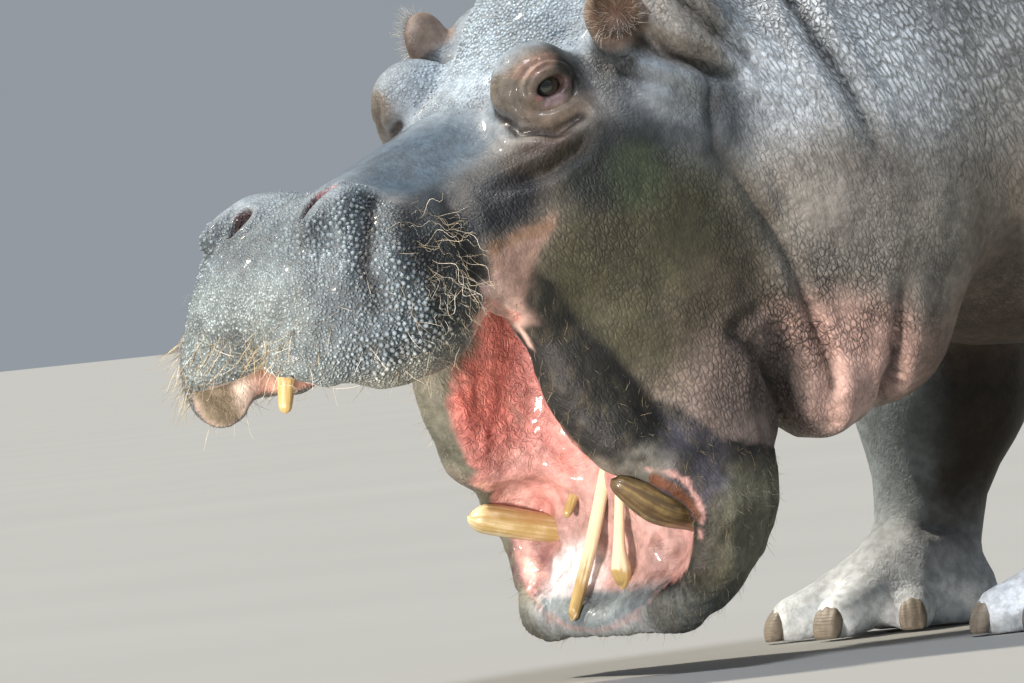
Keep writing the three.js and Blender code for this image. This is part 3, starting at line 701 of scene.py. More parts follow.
def sculpt(p, t):
    """Adds folds, lumps and ridges to the settled skin."""
    n = normals_of(p, t)
    out = np.zeros(len(p))
    for fr, rows, width in FOLDS:
        d, depth = fold_at(p, fr, rows)
        wander = d + 0.2 * width * lumps(p, 26, 3)
        out -= depth * np.exp(-np.maximum(wander, 0) / (0.75 * width))
        out += 0.45 * depth * np.exp(-(((wander - 2.4 * width) / (1.2 * width)) ** 2))
    out += 13 * spot(p, WORLD, BULGE, (66, 60, 52), soft=0.8)
    f, x, u = SKULL.places(p)
    g, _, v = JAW.places(p)
    for half_long, half_high, u0, depth, above in LID_WRINKLES:
        side = np.where(above < -0.5, u < -6, u > -12)
        ring = side_ring(p, 2, u0, half_long, half_high, above)
        out -= np.where(side, depth * np.exp(-((ring / 2.6) ** 2)), 0)
    nose = nostril_at(p)
    rim = np.exp(-(((nose - 9) / 7) ** 2)) * (u > -60)
    out += rim * np.where(np.abs(x) < 92, 4.5, -3.5)
    inner = lining(p)
    chin = spot(p, JAW, (500, 190, -40), (150, 110, 110)) * (1 - inner)
    out += chin * (3.6 * lumps(p, 30, 1) + 1.8 * lumps(p, 14, 2))
    lips = lip_band(p) * (1 - inner)
    out += lips * (1.8 * lumps(p, 24, 4) + 0.9 * lumps(p, 11, 5))
    basin = inner * spot(p, JAW, (510, 80, -10), (150, 210, 130))
    out += basin * (6 * lumps(p * (1, 0.6, 1), 34, 6) + 4 * lumps(p, 18, 7))
    for place, radii, high in GUMS:
        out += inner * high * spot(p, JAW, place, radii, soft=0.9)
    # Creases that run over the front lip, about 11 mm apart.
    front_lip = smooth((g - 568) / 24) * smooth((v + 70) / 50)
    out += 2.2 * front_lip * np.cos(x * 2 * math.pi / 11 + 1.6 * lumps(p, 40, 16))
    # Ridges of the hard palate, about 26 mm apart, behind the smooth front of it.
    roof = inner * (v > 120) * smooth((360 - f) / 40)
    out += roof * 2.2 * np.cos(f * 2 * math.pi / 26 + 0.9 * lumps(p, 60, 8))
    # Long folds of the stretched cheek, seen inside the mouth.
    cheek_in = inner * smooth((470 - g) / 80) * smooth((np.abs(x) - 60) / 40)
    out += cheek_in * (5.5 * lumps(p * (1, 1, 0.35), 24, 9) + 2.4 * lumps(p, 11, 17))
    muzzle = warty(p)
    out += muzzle * (4.2 * lumps(p, 44, 10) + 2.6 * lumps(p, 20, 11))
    crown = spot(p, SKULL, (-120, 0, 60), (170, 190, 110))
    out += crown * (2.2 * lumps(p, 20, 12) + 1.2 * lumps(p, 10, 13))
    body = smooth((p[:, 1] + 330) / 200)
    out += body * (5 * lumps(p * (1, 1, 0.5), 170, 14) + 1.8 * lumps(p * (1, 1.6, 0.6), 46, 15))
    cheek = (1 - inner) * spot(p, WORLD, (300, 260, 560), (330, 200, 430), soft=0.5) * (1 - muzzle)
    out += cheek * (3.2 * lumps(p * (1, 1, 0.6), 40, 26) + 1.5 * lumps(p * (1, 1, 0.5), 17, 27))
    return p + n * out[:, None]


# The bulge behind the eye, in world places, and the wet dark flank of the nose: place and radii.
BULGE = (424, 262, 782)
FLANK = ((138, 185, -95), (100, 110, 84))

# Wrinkles round the eye: half length, half height, middle, depth, and how low on the oval they reach.
LID_WRINKLES = ((35, 29, 0, 2.4, 0.1), (44, 39, -2, 2.0, -0.1), (34, 27, -3, 2.2, -1))

# Lumps of gum between the teeth: (place, radii, height).
GUMS = [
    ((548, 96, -34), (30, 24, 40), 13),
    ((560, 140, -30), (28, 22, 40), 12),
    ((520, 128, -34), (34, 26, 40), 10),
    ((590, 112, -20), (26, 22, 40), 8),
    ((507, 142, -32), (34, 26, 34), 16),
]


def lip_at(g):
    """The middle of the lower lip's roll so far along the jaw: sideways, up and radius."""
    rows = np.array(LIP)
    return [np.interp(g, rows[:, 0], rows[:, k]) for k in (1, 2, 3)]


# The bare pink skin at the corner of the mouth, in the side view: (forward, up) in the skull's frame.
CORNER = [
    (205, -195), (194, -152), (160, -150), (91, -147), (113, -176), (139, -205),
    (156, -222), (163, -241), (160, -275), (172, -275), (186, -234), (202, -205),
]

# The lining of the cheek that shows behind the corner of the mouth, in the same view.
WEB = [
    (214, -206), (190, -230), (173, -262), (168, -300),
    (180, -345), (250, -345), (250, -225), (225, -212),
]

# The pale edge of the mouth below its corner: places in the skull's frame and half width.
MOUTH_EDGE = [
    (213, 195, -198, 13),
    (192, 175, -226, 13),
    (176, 160, -258, 12),
    (166, 155, -300, 9),
    (166, 155, -345, 4),
]

# The ragged pink gum behind the left tusk, and the brown pocket that the tusk rises from, painted dark as
# shade
# in the hollow: places in the jaw's frame, with no width of their own.
TUSK_EDGE = [
    (439, 224, 62, 0), (444, 240, 38, 0), (458, 248, 19, 0),
    (482, 251, 5, 0), (506, 250, -3, 0), (532, 238, -5, 0),
]
TUSK_POCKET_SHADE = [(452, 222, 50, 0), (466, 236, 32, 0), (486, 242, 14, 0), (506, 246, 3, 0)]


def lining(p):
    """1 on the wet lining of the mouth and 0 on the outer skin."""

    def depth(q):
        low, high = q.min(axis=0), q.max(axis=0)
        flesh = melt(melted(FACE, q, low, high), melted(BODY, q, low, high), 70)
        return np.minimum((16 - melted(MOUTH, q, low, high)) / 12, (-flesh - 5) / 8)

    g, x, v = JAW.places(p)
    lip_x, lip_v, r = lip_at(g)
    within = np.where(x > 0, 0.45, 1.1)
    behind_lip = smooth((lip_x - within * r - np.abs(x)) / 10) * smooth((v - lip_v + 1.6 * r) / 16)
    behind_lip *= smooth((lip_v + 1.7 * r - v) / 10) * smooth((g - 170) / 40)
    wall = smooth((lip_x - 30 - np.abs(x)) / 10) * smooth((v - lip_v + 70) / 16) * smooth((100 - v) / 20)
    wall *= smooth((g - 200) / 40) * smooth((520 - g) / 30)
    web = region(p, SKULL, WEB, soft=4) * (x > 0)
    return np.max([smooth(evaluate(depth, p)), behind_lip, wall, web], axis=0)


# The upper edge of the lower lip's dark band in the side view: (forward, up) in the jaw's frame.
BAND_EDGE = [(150, 215), (182, 164), (252, 108), (329, 34), (358, -6), (407, -63), (430, -260)]


def lip_band(p):
    """The dark, lumpy band of the lower lip, from the corner of the mouth round the chin."""
    g, _, v = JAW.places(p)
    edge = np.interp(g, *zip(*BAND_EDGE))
    near = smooth((lip_at(g)[1] + 80 - v) / 20)
    return near * smooth((v - edge + 6 * lumps(p, 30, 21)) / 18) * smooth((g - 140) / 40)


def nostril_at(p):
    """Distance to the nearer nostril, in millimetres, below 0 inside it."""
    return np.minimum(OPENINGS[1][0].at(p), OPENINGS[2][0].at(p))


def nostril_rim(p):
    """1 round the nostrils, where the wart-free rim stands up."""
    return smooth((26 - nostril_at(p)) / 16) * (SKULL.places(p)[2] > -70)


def warty(p):
    """The bristly pads of the upper lip."""
    f, _, u = SKULL.places(p)
    edge = 232 - 0.35 * np.minimum(u, 0) * (u > -90)
    return smooth((f - edge) / 50) * smooth((16 - u) / 40) * (1 - lining(p))


def srgb(code):
    """A linear colour from an sRGB hex value such as '8a7f72'."""
    parts = [int(code[i:i + 2], 16) / 255 for i in (0, 2, 4)]
    return tuple(c / 12.92 if c <= 0.04045 else ((c + 0.055) / 1.055) ** 2.4 for c in parts)


def ear_part(p):
    """1 on the ears and 0 off them."""
    return spot(p, SKULL, (-112, 236, 52), (56, 52, 58), soft=0.3)


def painted(p, n):
    """The hide's colour at each place, from broad soft patches laid over each other, some of them painted
    light and shade.
    """
    tint = np.tile(np.array(srgb("7b7368")), (len(p), 1))

    def lay(where, code):
        tint[:] += (np.array(srgb(code)) - tint) * np.clip(where, 0, 1)[:, None]

    def patch(fr, place, radii, code, soft=0.5, amount=1.0):
        lay(spot(p, fr, place, radii, soft=soft) * amount, code)

    f, x, u = SKULL.places(p)
    g, _, v = JAW.places(p)
    inner = lining(p)
    outer = 1 - inner
    left = x > 0
    muzzle = warty(p)
    lay(smooth((p[:, 2] - 750) / 450), "84878a")  # back
    lay(smooth((560 - p[:, 2]) / 260) * smooth((p[:, 1] + 200) / 200), "957a6a")  # belly, inner legs
    patch(WORLD, (-60, 0, 950), (900, 600, 480), "969b9e", soft=0.9)  # shoulders
    # Painted light: this patch and the next paint the neck pale, as if sunlit.
    patch(WORLD, (60, 200, 930), (560, 480, 380), "c6cdcf", soft=0.8)  # neck
    patch(WORLD, (180, 300, 760), (230, 200, 230), "d2dade")
    patch(WORLD, (200, 280, 560), (330, 200, 200), "938e86")  # side of the neck
    patch(SKULL, (-120, 250, -120), (150, 130, 130), "50565a")  # back of the cheek
    patch(WORLD, BULGE, (74, 70, 60), "8c959a", soft=0.4)  # bulge behind the eye
    # Painted shadow: this patch and the next paint the cheek dark, as shadow falling on it.
    patch(SKULL, (-10, 230, -270), (240, 160, 200), "403f2d")  # cheek
    patch(SKULL, (0, 250, -118), (120, 110, 84), "161c19", soft=0.6)
    patch(SKULL, (-30, 250, -150), (60, 90, 60), "39452f", amount=0.6)
    patch(JAW, (230, 230, -70), (120, 110, 130), "51493d", amount=0.8)
    patch(WORLD, (190, 220, 400), (190, 120, 150), "d3b0a4")  # jowls
    patch(WORLD, (330, 220, 360), (150, 120, 150), "72655e")  # lower cheek
    patch(WORLD, (130, 0, 310), (220, 240, 80), "d2c6b3")  # throat
    lay(smooth((u + 60) / 50) * smooth((f + 330) / 80) * smooth((540 - f) / 60), "78838b")  # top
    patch(SKULL, (-110, 0, 60), (190, 190, 130), "94a3ad")
    patch(SKULL, (150, 60, -60), (170, 150, 110), "394a57")  # bridge of the nose
    patch(SKULL, (200, 165, -86), (100, 90, 80), "2a3136")
    patch(SKULL, *FLANK, "10161b", soft=0.6)
    lay(muzzle, "79868c")
    lay(muzzle * smooth((f - 420) / 60), "95a3a4")
    patch(SKULL, (262, 190, -130), (76, 90, 120), "1f2629")
    patch(SKULL, (277, 209, -195), (60, 80, 60), "3e4645")
    lay(muzzle * smooth((-205 - u) / 50), "a6aa9f")
    patch(SKULL, (4, 200, 0), (74, 90, 72), "665a4e", soft=0.35)  # eye turret
    patch(SKULL, (-44, 190, 10), (42, 80, 60), "1c1b16")
    patch(SKULL, (52, 175, 20), (22, 80, 50), "5c564d")
    patch(SKULL, (10, 205, 34), (50, 60, 16), "83695a")
    patch(SKULL, (66, 200, -70), (70, 70, 20), "2e251a")  # fold under the eye
    patch(SKULL, (40, 210, -84), (66, 70, 16), "221d12")
    patch(SKULL, (-78, 215, -22), (46, 80, 84), "3f4447", soft=0.8)
    patch(SKULL, (-122, 238, 6), (24, 60, 40), "2b2b2b", soft=0.8)
    lay(spot(p, SKULL, (46, 206, -62), (44, 70, 14)) * (0.7 + 0.3 * lumps(p, 12, 36)), "40312a")
    patch(SKULL, (-190, 255, 0), (80, 80, 90), "958f86")  # fold behind the ear
    ear = ear_part(p)
    lay(ear, "76665b")  # ears
    cup = smooth((14 - EAR_CUP.at(p)) / 10) * ear
    lay(cup, "7a5d4b")
    lay(cup * smooth((58 - u) / 30), "3c2a20")
    band = lip_band(p) * outer
    lay(band * left, "121210")  # lip band
    lay(band * (x <= 0), "67685b")
    crest = smooth((34 - np.abs(v - lip_at(g)[1])) / 24)
    lay(band * crest * smooth((420 - g) / 60) * left, "1c1c16")
    lay(band * smooth((10 - v) / 60) * smooth((g - 420) / 60), "74725f")  # chin
    violet = spot(p, JAW, (440, 235, 0), (80, 70, 70)) * band
    lay(violet * (0.55 + 0.45 * lumps(p, 26, 25)), "4f4c56")
    lay(band * left * 0.4 * smooth(2 * lumps(p * (1, 1, 0.5), 9, 37)), "4b4538")
    above_tusk = spot(p, JAW, (432, 224, 66), (40, 50, 52), pair=False)
    lay(above_tusk * (0.6 + 0.4 * lumps(p, 9, 35)), "7c7b73")
    front = band * smooth((g - 590) / 30)
    lay(front * smooth((170 - np.abs(x)) / 40), "8d9496")
    lay(front * smooth((np.abs(x) - 120) / 40), "5d615c")
    corner = region(p, SKULL, CORNER, least_x=120) * outer
    lay(corner, "8a7266")  # corner of the mouth
    edge, wide = along(p, SKULL, MOUTH_EDGE)
    lay(corner * smooth((wide + 26 - edge) / 24), "b0948a")
    lay(outer * smooth((wide + 3 * lumps(p, 20, 24) - edge) / 6), "d0b0a3")
    spike, _ = along(p, SKULL, [(185, 200, -150, 0), (100, 218, -160, 0)])
    lay(outer * smooth((12 + 4 * lumps(p, 18, 28) - spike) / 9), "7d6450")
    # Painted shade: the folds are darkened along their lines, most where they are deepest.
    groove = np.zeros(len(p))
    for fr, rows, width in FOLDS:
        d, depth = fold_at(p, fr, rows)
        groove = np.maximum(groove, np.minimum(depth / 12, 1) * np.exp(-((d / (0.8 * width)) ** 2)))
    lay(0.85 * groove * outer, "241e1a")
    # Painted shade: a dark line along the fold under the eye.
    lids, _ = along(p, SKULL, FOLDS[0][1])
    lay(smooth((10 - lids) / 6), "231b17")  # crease under the eye
    # Partly painted shade and light: the legs are dark brown and painted darker still as shade, and their
    # forward-facing fronts are painted light.
    leg = smooth((470 - p[:, 2]) / 130) * smooth((p[:, 1] + 60) / 120)
    lay(leg, "362c21")
    lay(leg * smooth((-n[:, 1] - 0.35) / 0.5), "7a8284")
    # Painted light: the feet are painted pale and the toes near white, as in bright sunlight, most on the
    # forefeet.
    foot_light = (p[:, 1] > -120) * np.where(p[:, 1] < 420, 1, 0.45)
    lay(smooth((200 - p[:, 2]) / 150) * foot_light, "c6ccd0")  # feet
    lay(smooth((70 - p[:, 2]) / 40) * foot_light, "eef6fa")
    lay(inner, "cf8b84")  # lining of the mouth
    back = inner * smooth((440 - g) / 160) * smooth((v - 20) / 60)
    lay(back, "bd6257")
    lay(back * spot(p, JAW, (300, 40, 60), (160, 60, 130)), "c98078")
    lay(back * spot(p, JAW, (250, 115, 95), (100, 120, 120)), "d8877a")
    lay(inner * spot(p, JAW, (540, 40, 0), (130, 210, 120)), "b8958f")  # floor of the mouth
    lay(inner * spot(p, JAW, (440, -150, 20), (70, 90, 80), pair=False), "dca29a")
    # Painted light: a near-white pool of light on the right side of the mouth's floor.
    lay(inner * spot(p, JAW, (575, -95, -12), (66, 90, 70), pair=False), "f8f0f2")
    gum_line, _ = along(p, JAW, TUSK_EDGE)
    lay(left * smooth((6 + 4 * lumps(p, 13, 33) - gum_line) / 4), "c49890")  # gum by the left tusk
    # Painted shade: the pocket round the left tusk's root is painted dark brown, as shade in the hollow.
    pocket_shade, _ = along(p, JAW, TUSK_POCKET_SHADE)
    lay(left * smooth((10 + 2 * lumps(p, 16, 34) - pocket_shade) / 5), "5f3822")
    bruise = spot(p, JAW, (552, -202, -8), (56, 60, 66), pair=False, soft=0.7)
    lay(np.maximum(inner, bruise > 0.5) * bruise * (0.6 + 0.4 * lumps(p, 12, 32)), "57343c")
    lay(rim_of(p, inner), "6a777c")  # front lip
    lip_edge = inner * (1 - smooth(lip_depth(p) / 8))
    lay(lip_edge * smooth((g - 240) / 60) * smooth((590 - g) / 30), "d8aaa2")
    lay(inner * (u > -300) * (f > 120), "dfb09f")  # palate
    # Painted light: the palate's front is painted near white, paler than its own pink, to stand for light
    # reaching it.
    lay(inner * (u > -320) * smooth((f - 400) / 40), "ffeede")
    lay(inner * smooth((f - 440) / 30) * smooth((-x - 20) / 40), "918570")
    nose = nostril_at(p)
    on_top = (u > -70) * (f > 280)
    lay(smooth((5 - nose) / 4) * on_top, "4a3a3d")  # nostril
    lay(smooth((3 - nose) / 3) * on_top * smooth((336 - f) / 16) * left, "a8767a")
    patch(SKULL, (0, 200, -3), (32, 30, 18), "4b3a36", soft=0.3)  # edges of the lids
    patch(SKULL, (8, 200, -18), (26, 26, 8), "7d6a6c")
    patch(SKULL, (25, 196, -6), (8, 20, 6), "7c5652", soft=0.7)
    return tint


def rim_of(p, inner):
    """The wrinkled blue-grey inner face of the front lip."""
    g, _, v = JAW.places(p)
    return inner * smooth((g - 584 + 8 * lumps(p, 22, 23)) / 20) * smooth((v + 60) / 40)


def lip_depth(p):
    """How deep a place lies inside the lips, in millimetres."""
    d, r = along(p, JAW, LIP)
    return np.maximum(d - r, 0)


def marks_of(p):
    """Masks that the hide's material reads: name and strength at each place."""
    inner = lining(p)
    muzzle = warty(p)
    crown = spot(p, SKULL, (-110, 0, 70), (200, 220, 130), soft=0.7)
    bridge = spot(p, SKULL, (130, 40, -40), (230, 200, 120), soft=0.6)
    jowl = spot(p, WORLD, (190, 240, 420), (230, 140, 200), soft=0.6)
    neck_end = 378 + 90 * smooth((p[:, 2] - 720) / 60)
    neck = spot(p, WORLD, (0, 150, 900), (620, 520, 420), soft=0.7) * smooth((neck_end + p[:, 1]) / 40)
    turret = spot(p, SKULL, (0, 190, 0), (80, 90, 76), soft=0.4)
    leg = smooth((480 - p[:, 2]) / 200) * (p[:, 1] > -150)
    bare = np.clip(1 - muzzle - bridge - inner - 0.7 * turret - 0.8 * crown - 0.8 * ear_part(p), 0, 1)
    bare *= 1 - 0.7 * region(p, SKULL, CORNER, least_x=120)
    g, _, v = JAW.places(p)
    throat = smooth((470 - g) / 110) * smooth((v + 20) / 60) * smooth((300 - SKULL.places(p)[0]) / 50)
    wet = np.clip(np.max([inner, bridge, 0.9 * crown, 0.35 * muzzle, 0.35 * turret], axis=0), 0, 1)
    return {
        "warts": np.maximum(muzzle, 0.8 * crown) * (1 - 0.8 * turret) * (1 - inner),
        "cracks": bare * (0.6 + 0.4 * jowl) * (1 - 0.4 * lip_band(p)) * (1 - 0.6 * leg) * (1 - 0.75 * neck),
        "ridges": np.clip(neck - inner, 0, 1),
        "wet": wet * (1 - 0.7 * rim_of(p, inner)) * (1 - 0.8 * spot(p, SKULL, *FLANK, soft=0.6)),
        "throat": inner * (0.25 + 0.75 * throat),
    }


# ---------------------------------------------------------------- materials
def add(tree, kind, inputs=None, **settings):
    """Adds a node, makes its settings, and gives its inputs values or links from other sockets."""
    n = tree.nodes.new(kind)
    for key, value in settings.items():
        setattr(n, key, value)
    for key, value in (inputs or {}).items():
        if isinstance(value, bpy.types.NodeSocket):
            tree.links.new(value, n.inputs[key])
        else:
            n.inputs[key].default_value = value
    return n


def material(name, **values):
    """A new material with its node tree and its surface shader, whose sockets hold the values."""
    m = bpy.data.materials.new(name)
    m.use_nodes = True
    shader = m.node_tree.nodes["Principled BSDF"]
    for key, value in values.items():
        socket = shader.inputs[key.replace("_", " ")]
        socket.default_value = (*srgb(value), 1) if isinstance(value, str) else value
    return m, m.node_tree, shader


def math_of(tree, operation, a, b=0.0, c=0.0):
    """A sum on numbers or on sockets."""
    return add(tree, "ShaderNodeMath", {0: a, 1: b, 2: c}, operation=operation).outputs[0]


def ramp(tree, value, low, high, start=0.0, end=1.0):
    """Eases from start to end as the value goes from low to high."""
    inputs = {0: value, 1: low, 2: high, 3: start, 4: end}
    return add(tree, "ShaderNodeMapRange", inputs, interpolation_type="SMOOTHSTEP").outputs[0]


def blend_colour(tree, how, factor, a, b):
    """Colour b laid over colour a."""
    n = add(tree, "ShaderNodeMix", {0: factor, 6: a, 7: b}, data_type="RGBA", blend_type=how)
    return n.outputs[2]


def colour(code):
    """A socket's colour from an sRGB hex value."""
    return (*srgb(code), 1)


def noise(tree, vector, scale, detail, **more):
    """Smooth noise about 0.5, with so many turns in a metre."""
    inputs = {"Vector": vector, "Scale": scale, "Detail": detail, **more}
    return add(tree, "ShaderNodeTexNoise", inputs).outputs["Fac"]


def voronoi(tree, vector, scale, feature="F1"):
    """Distance to the nearest of scattered points, or to the edge between two cells."""
    inputs = {"Vector": vector, "Scale": scale}
    return add(tree, "ShaderNodeTexVoronoi", inputs, feature=feature).outputs["Distance"]


def stretched(tree, vector, scale):
    """A vector scaled on each axis: under 1 makes a pattern longer on that axis."""
    return add(tree, "ShaderNodeMapping", {"Vector": vector, "Scale": scale}).outputs[0]


def tipped(tree, vector, degrees):
    """Turns a vector about the x axis."""
    inputs = {"Vector": vector, "Angle": math.radians(degrees)}
    return add(tree, "ShaderNodeVectorRotate", inputs, rotation_type="X_AXIS").outputs[0]


def vector_math(tree, operation, a, b):
    """Two vectors added or subtracted, or a vector scaled by a number."""
    inputs = {0: a, "Scale" if operation == "SCALE" else 1: b}
    return add(tree, "ShaderNodeVectorMath", inputs, operation=operation).outputs[0]


def attribute(tree, name):
    """A number kept on the mesh."""
    return add(tree, "ShaderNodeAttribute", attribute_name=name).outputs["Fac"]


def bumped(tree, shader, height):
    """Lets the surface stand up by a height in metres."""
    bump = add(tree, "ShaderNodeBump", {"Height": height, "Distance": 1.0, "Strength": 1.0})
    tree.links.new(bump.outputs[0], shader.inputs["Normal"])


def hide_material():
    """Wet hippopotamus hide: thick, bare and cracked into a net, warty on the lips, oiled and glossy
    where water stands, and turning to wet pink lining inside the mouth."""
    m, tree, shader = material("wet_cracked_hide", Coat_Roughness=0.09, Coat_IOR=1.33)
    where = add(tree, "ShaderNodeTexCoord").outputs["Object"]
    marks = ("warts", "cracks", "ridges", "wet", "throat")
    warts, cracks, ridges, wet, throat = (attribute(tree, name) for name in marks)
    tint = add(tree, "ShaderNodeAttribute", attribute_name="tint").outputs["Color"]

    # Every pattern wanders by about 8 mm, so that no cell is straight-edged.
    wander = {"Vector": where, "Scale": 34, "Detail": 4, "Roughness": 0.7}
    drift = add(tree, "ShaderNodeTexNoise", wander).outputs["Color"]
    drift = vector_math(tree, "SCALE", vector_math(tree, "SUBTRACT", drift, (0.5, 0.5, 0.5)), 0.009)
    bent = vector_math(tree, "ADD", where, drift)
    straighter = vector_math(tree, "ADD", where, vector_math(tree, "SCALE", drift, 0.4))
    # The neck's ridges run down and back, at 30 degrees from upright.
    slant = tipped(tree, straighter, -30)

    def edges(vector, spacing, width):
        """1 on the cells of a net and 0 in the cracks between them; sizes in metres."""
        return ramp(tree, voronoi(tree, vector, 1 / spacing, "DISTANCE_TO_EDGE"), 0, width / spacing)

    # Cracks are strong in some places and fade in others.
    fade = noise(tree, where, 9, 3)
    cracks = math_of(tree, "MULTIPLY", cracks, ramp(tree, fade, 0.35, 0.62, 0.35, 1))
    wide_cracks = math_of(tree, "MULTIPLY", cracks, ramp(tree, cracks, 0.5, 0.95, 0.2, 1))
    net = edges(straighter, 0.013, 0.0015)
    small_net = edges(stretched(tree, slant, (1, 1, 0.55)), 0.0062, 0.0018)
    long_net = edges(stretched(tree, slant, (1, 1, 0.3)), 0.0068, 0.0020)
    rippled = ramp(tree, noise(tree, stretched(tree, slant, (1, 1, 0.24)), 105, 3), 0.36, 0.6)
    rough = noise(tree, where, 190, 5)
    # Grains 4.2 mm apart carry the roughness of the warty parts between the warts.
    wart = ramp(tree, voronoi(tree, bent, 1 / 0.0042), 0.05, 0.7, 1, 0)
    pores = noise(tree, where, 620, 2)
    # The lining is cut by small winding furrows, where noise crosses its middle.
    papilla = math_of(tree, "SUBTRACT", noise(tree, bent, 80, 4, Distortion=1.0), 0.5)
    papilla = ramp(tree, math_of(tree, "ABSOLUTE", papilla), 0.0, 0.12)
    # Water runs down the nose in streaks, so the film on it is rippled along the slope of the skull.
    ripple = noise(tree, stretched(tree, tipped(tree, where, -20), (1, 0.22, 1)), 150, 4)

    def part(mask, height, tall_by):
        return math_of(tree, "MULTIPLY", math_of(tree, "MULTIPLY", mask, height), tall_by)

    height = part(warts, wart, 0.0024)
    for layer in (
        part(wide_cracks, net, 0.0014),
        part(cracks, small_net, 0.0014),
        part(ridges, long_net, 0.0026),
        part(ridges, rippled, 0.0016),
        part(1.0, rough, 0.0009),
        part(throat, papilla, 0.0014),
        part(wet, ripple, 0.0016),
        part(1.0, pores, 0.0004),
    ):
        height = math_of(tree, "ADD", height, layer)
    bumped(tree, shader, height)

    def darker(base, mask, pattern, least):
        """Multiplies a colour by least where the pattern is 0 and the mask is 1."""
        depth = math_of(tree, "MULTIPLY", mask, math_of(tree, "SUBTRACT", 1.0, pattern))
        shade = ramp(tree, depth, 0, 1, 1, least)
        return blend_colour(tree, "MULTIPLY", 1.0, base, shade)

    blotch = ramp(tree, noise(tree, where, 11, 5), 0.3, 0.7, 0.74, 1.2)
    mottle = ramp(tree, noise(tree, where, 75, 3), 0.3, 0.7, 0.8, 1.2)
    look = blend_colour(tree, "MULTIPLY", 1.0, tint, blotch)
    look = blend_colour(tree, "MULTIPLY", 1.0, look, mottle)
    look = darker(look, warts, wart, 0.38)
    look = darker(look, wide_cracks, net, 0.5)
    look = darker(look, cracks, small_net, 0.46)
    look = darker(look, ridges, long_net, 0.5)
    look = darker(look, ridges, rippled, 0.8)
    look = darker(look, throat, papilla, 0.82)
    # Sparse dark pores, a few centimetres apart.
    look = darker(look, cracks, ramp(tree, voronoi(tree, where, 42), 0.05, 0.10), 0.45)
    tree.links.new(look, shader.inputs["Base Color"])

    film = math_of(tree, "MULTIPLY", wet, ramp(tree, noise(tree, where, 24, 4), 0.40, 0.60, 0.12, 1))
    tree.links.new(film, shader.inputs["Coat Weight"])
    tree.links.new(ramp(tree, film, 0, 1, 0.62, 0.42), shader.inputs["Roughness"])
    return m


def ivory_material():
    """Hippopotamus ivory: dense dentine, cream under a yellow-brown stain that runs in streaks along
    the grooves, polished by wear."""
    m, tree, shader = material("stained_ivory", IOR=1.54, Coat_Weight=0.25, Coat_Roughness=0.1)
    uv = add(tree, "ShaderNodeUVMap", uv_map="grain").outputs[0]
    where = add(tree, "ShaderNodeTexCoord").outputs["Object"]
    streak = noise(tree, stretched(tree, uv, (9, 1.1, 1)), 2.2, 5)
    cloud = noise(tree, where, 55, 3)
    amount = math_of(tree, "ADD", attribute(tree, "stain"), math_of(tree, "MULTIPLY_ADD", streak, 0.9, -0.45))
    amount = math_of(tree, "ADD", amount, math_of(tree, "MULTIPLY_ADD", cloud, 0.5, -0.25))
    cream = blend_colour(tree, "MIX", ramp(tree, amount, 0.0, 0.55), colour("e9dfbb"), colour("b0975f"))
    brown = blend_colour(tree, "MIX", ramp(tree, amount, 0.55, 1.1), cream, colour("54432a"))
    tree.links.new(brown, shader.inputs["Base Color"])
    tree.links.new(ramp(tree, streak, 0.3, 0.7, 0.26, 0.5), shader.inputs["Roughness"])
    bumped(tree, shader, math_of(tree, "MULTIPLY", streak, 0.0012))
    return m


def eye_material():
    """A wet eyeball: a dark olive-brown iris with a pupil that lies flat, in a brown-veined white."""
    m, tree, shader = material("wet_eye", Roughness=0.06, IOR=1.38, Coat_Weight=1.0, Coat_Roughness=0.02)
    uv = add(tree, "ShaderNodeUVMap", uv_map="gaze").outputs[0]
    out = add(tree, "ShaderNodeVectorMath", {0: uv}, operation="LENGTH").outputs["Value"]
    flat = stretched(tree, uv, (0.75, 1.7, 1))
    slit = add(tree, "ShaderNodeVectorMath", {0: flat}, operation="LENGTH").outputs["Value"]
    fibre = noise(tree, uv, 14, 4)
    iris = blend_colour(tree, "MIX", fibre, colour("1d1e1a"), colour("474a42"))
    white = blend_colour(tree, "MIX", fibre, colour("3a2a24"), colour("6d574b"))
    ball = blend_colour(tree, "MIX", ramp(tree, out, 0.62, 0.72), iris, white)
    ball = blend_colour(tree, "MIX", ramp(tree, slit, 0.3, 0.37), colour("060606"), ball)
    tree.links.new(ball, shader.inputs["Base Color"])
    return m


def nail_material():
    """Horn of the toenails: grey-brown keratin, scuffed matt, with growth lines across it."""
    m, tree, shader = material("toenail_horn", Roughness=0.55)
    where = add(tree, "ShaderNodeTexCoord").outputs["Object"]
    growth = {"Vector": where, "Scale": 70, "Distortion": 3, "Detail": 2}
    lines = add(tree, "ShaderNodeTexWave", growth, bands_direction="Z").outputs["Fac"]
    scuff = noise(tree, where, 120, 4)
    look = blend_colour(tree, "MIX", scuff, colour("5d554a"), colour("948b7b"))
    tree.links.new(look, shader.inputs["Base Color"])
    bumped(tree, shader, math_of(tree, "MULTIPLY", lines, 0.0002))
    return m


def bristle_material(name, dark, light, root):
    """Keratin bristles, darker at the root, each a shade of its own."""
    m, tree, shader = material(name, Roughness=0.42, IOR=1.55)
    shaft = blend_colour(tree, "MIX", attribute(tree, "shade"), colour(dark), colour(light))
    look = blend_colour(tree, "MIX", ramp(tree, attribute(tree, "tip"), 0, 0.5), colour(root), shaft)
    tree.links.new(look, shader.inputs["Base Color"])
    return m


def floor_material():
    """A plain pale matt studio floor."""
    m, tree, shader = material("pale_floor", Roughness=0.85)
    where = add(tree, "ShaderNodeTexCoord").outputs["Object"]
    look = blend_colour(tree, "MIX", noise(tree, where, 0.6, 3), colour("858683"), colour("8d8e8b"))
    tree.links.new(look, shader.inputs["Base Color"])
    return m


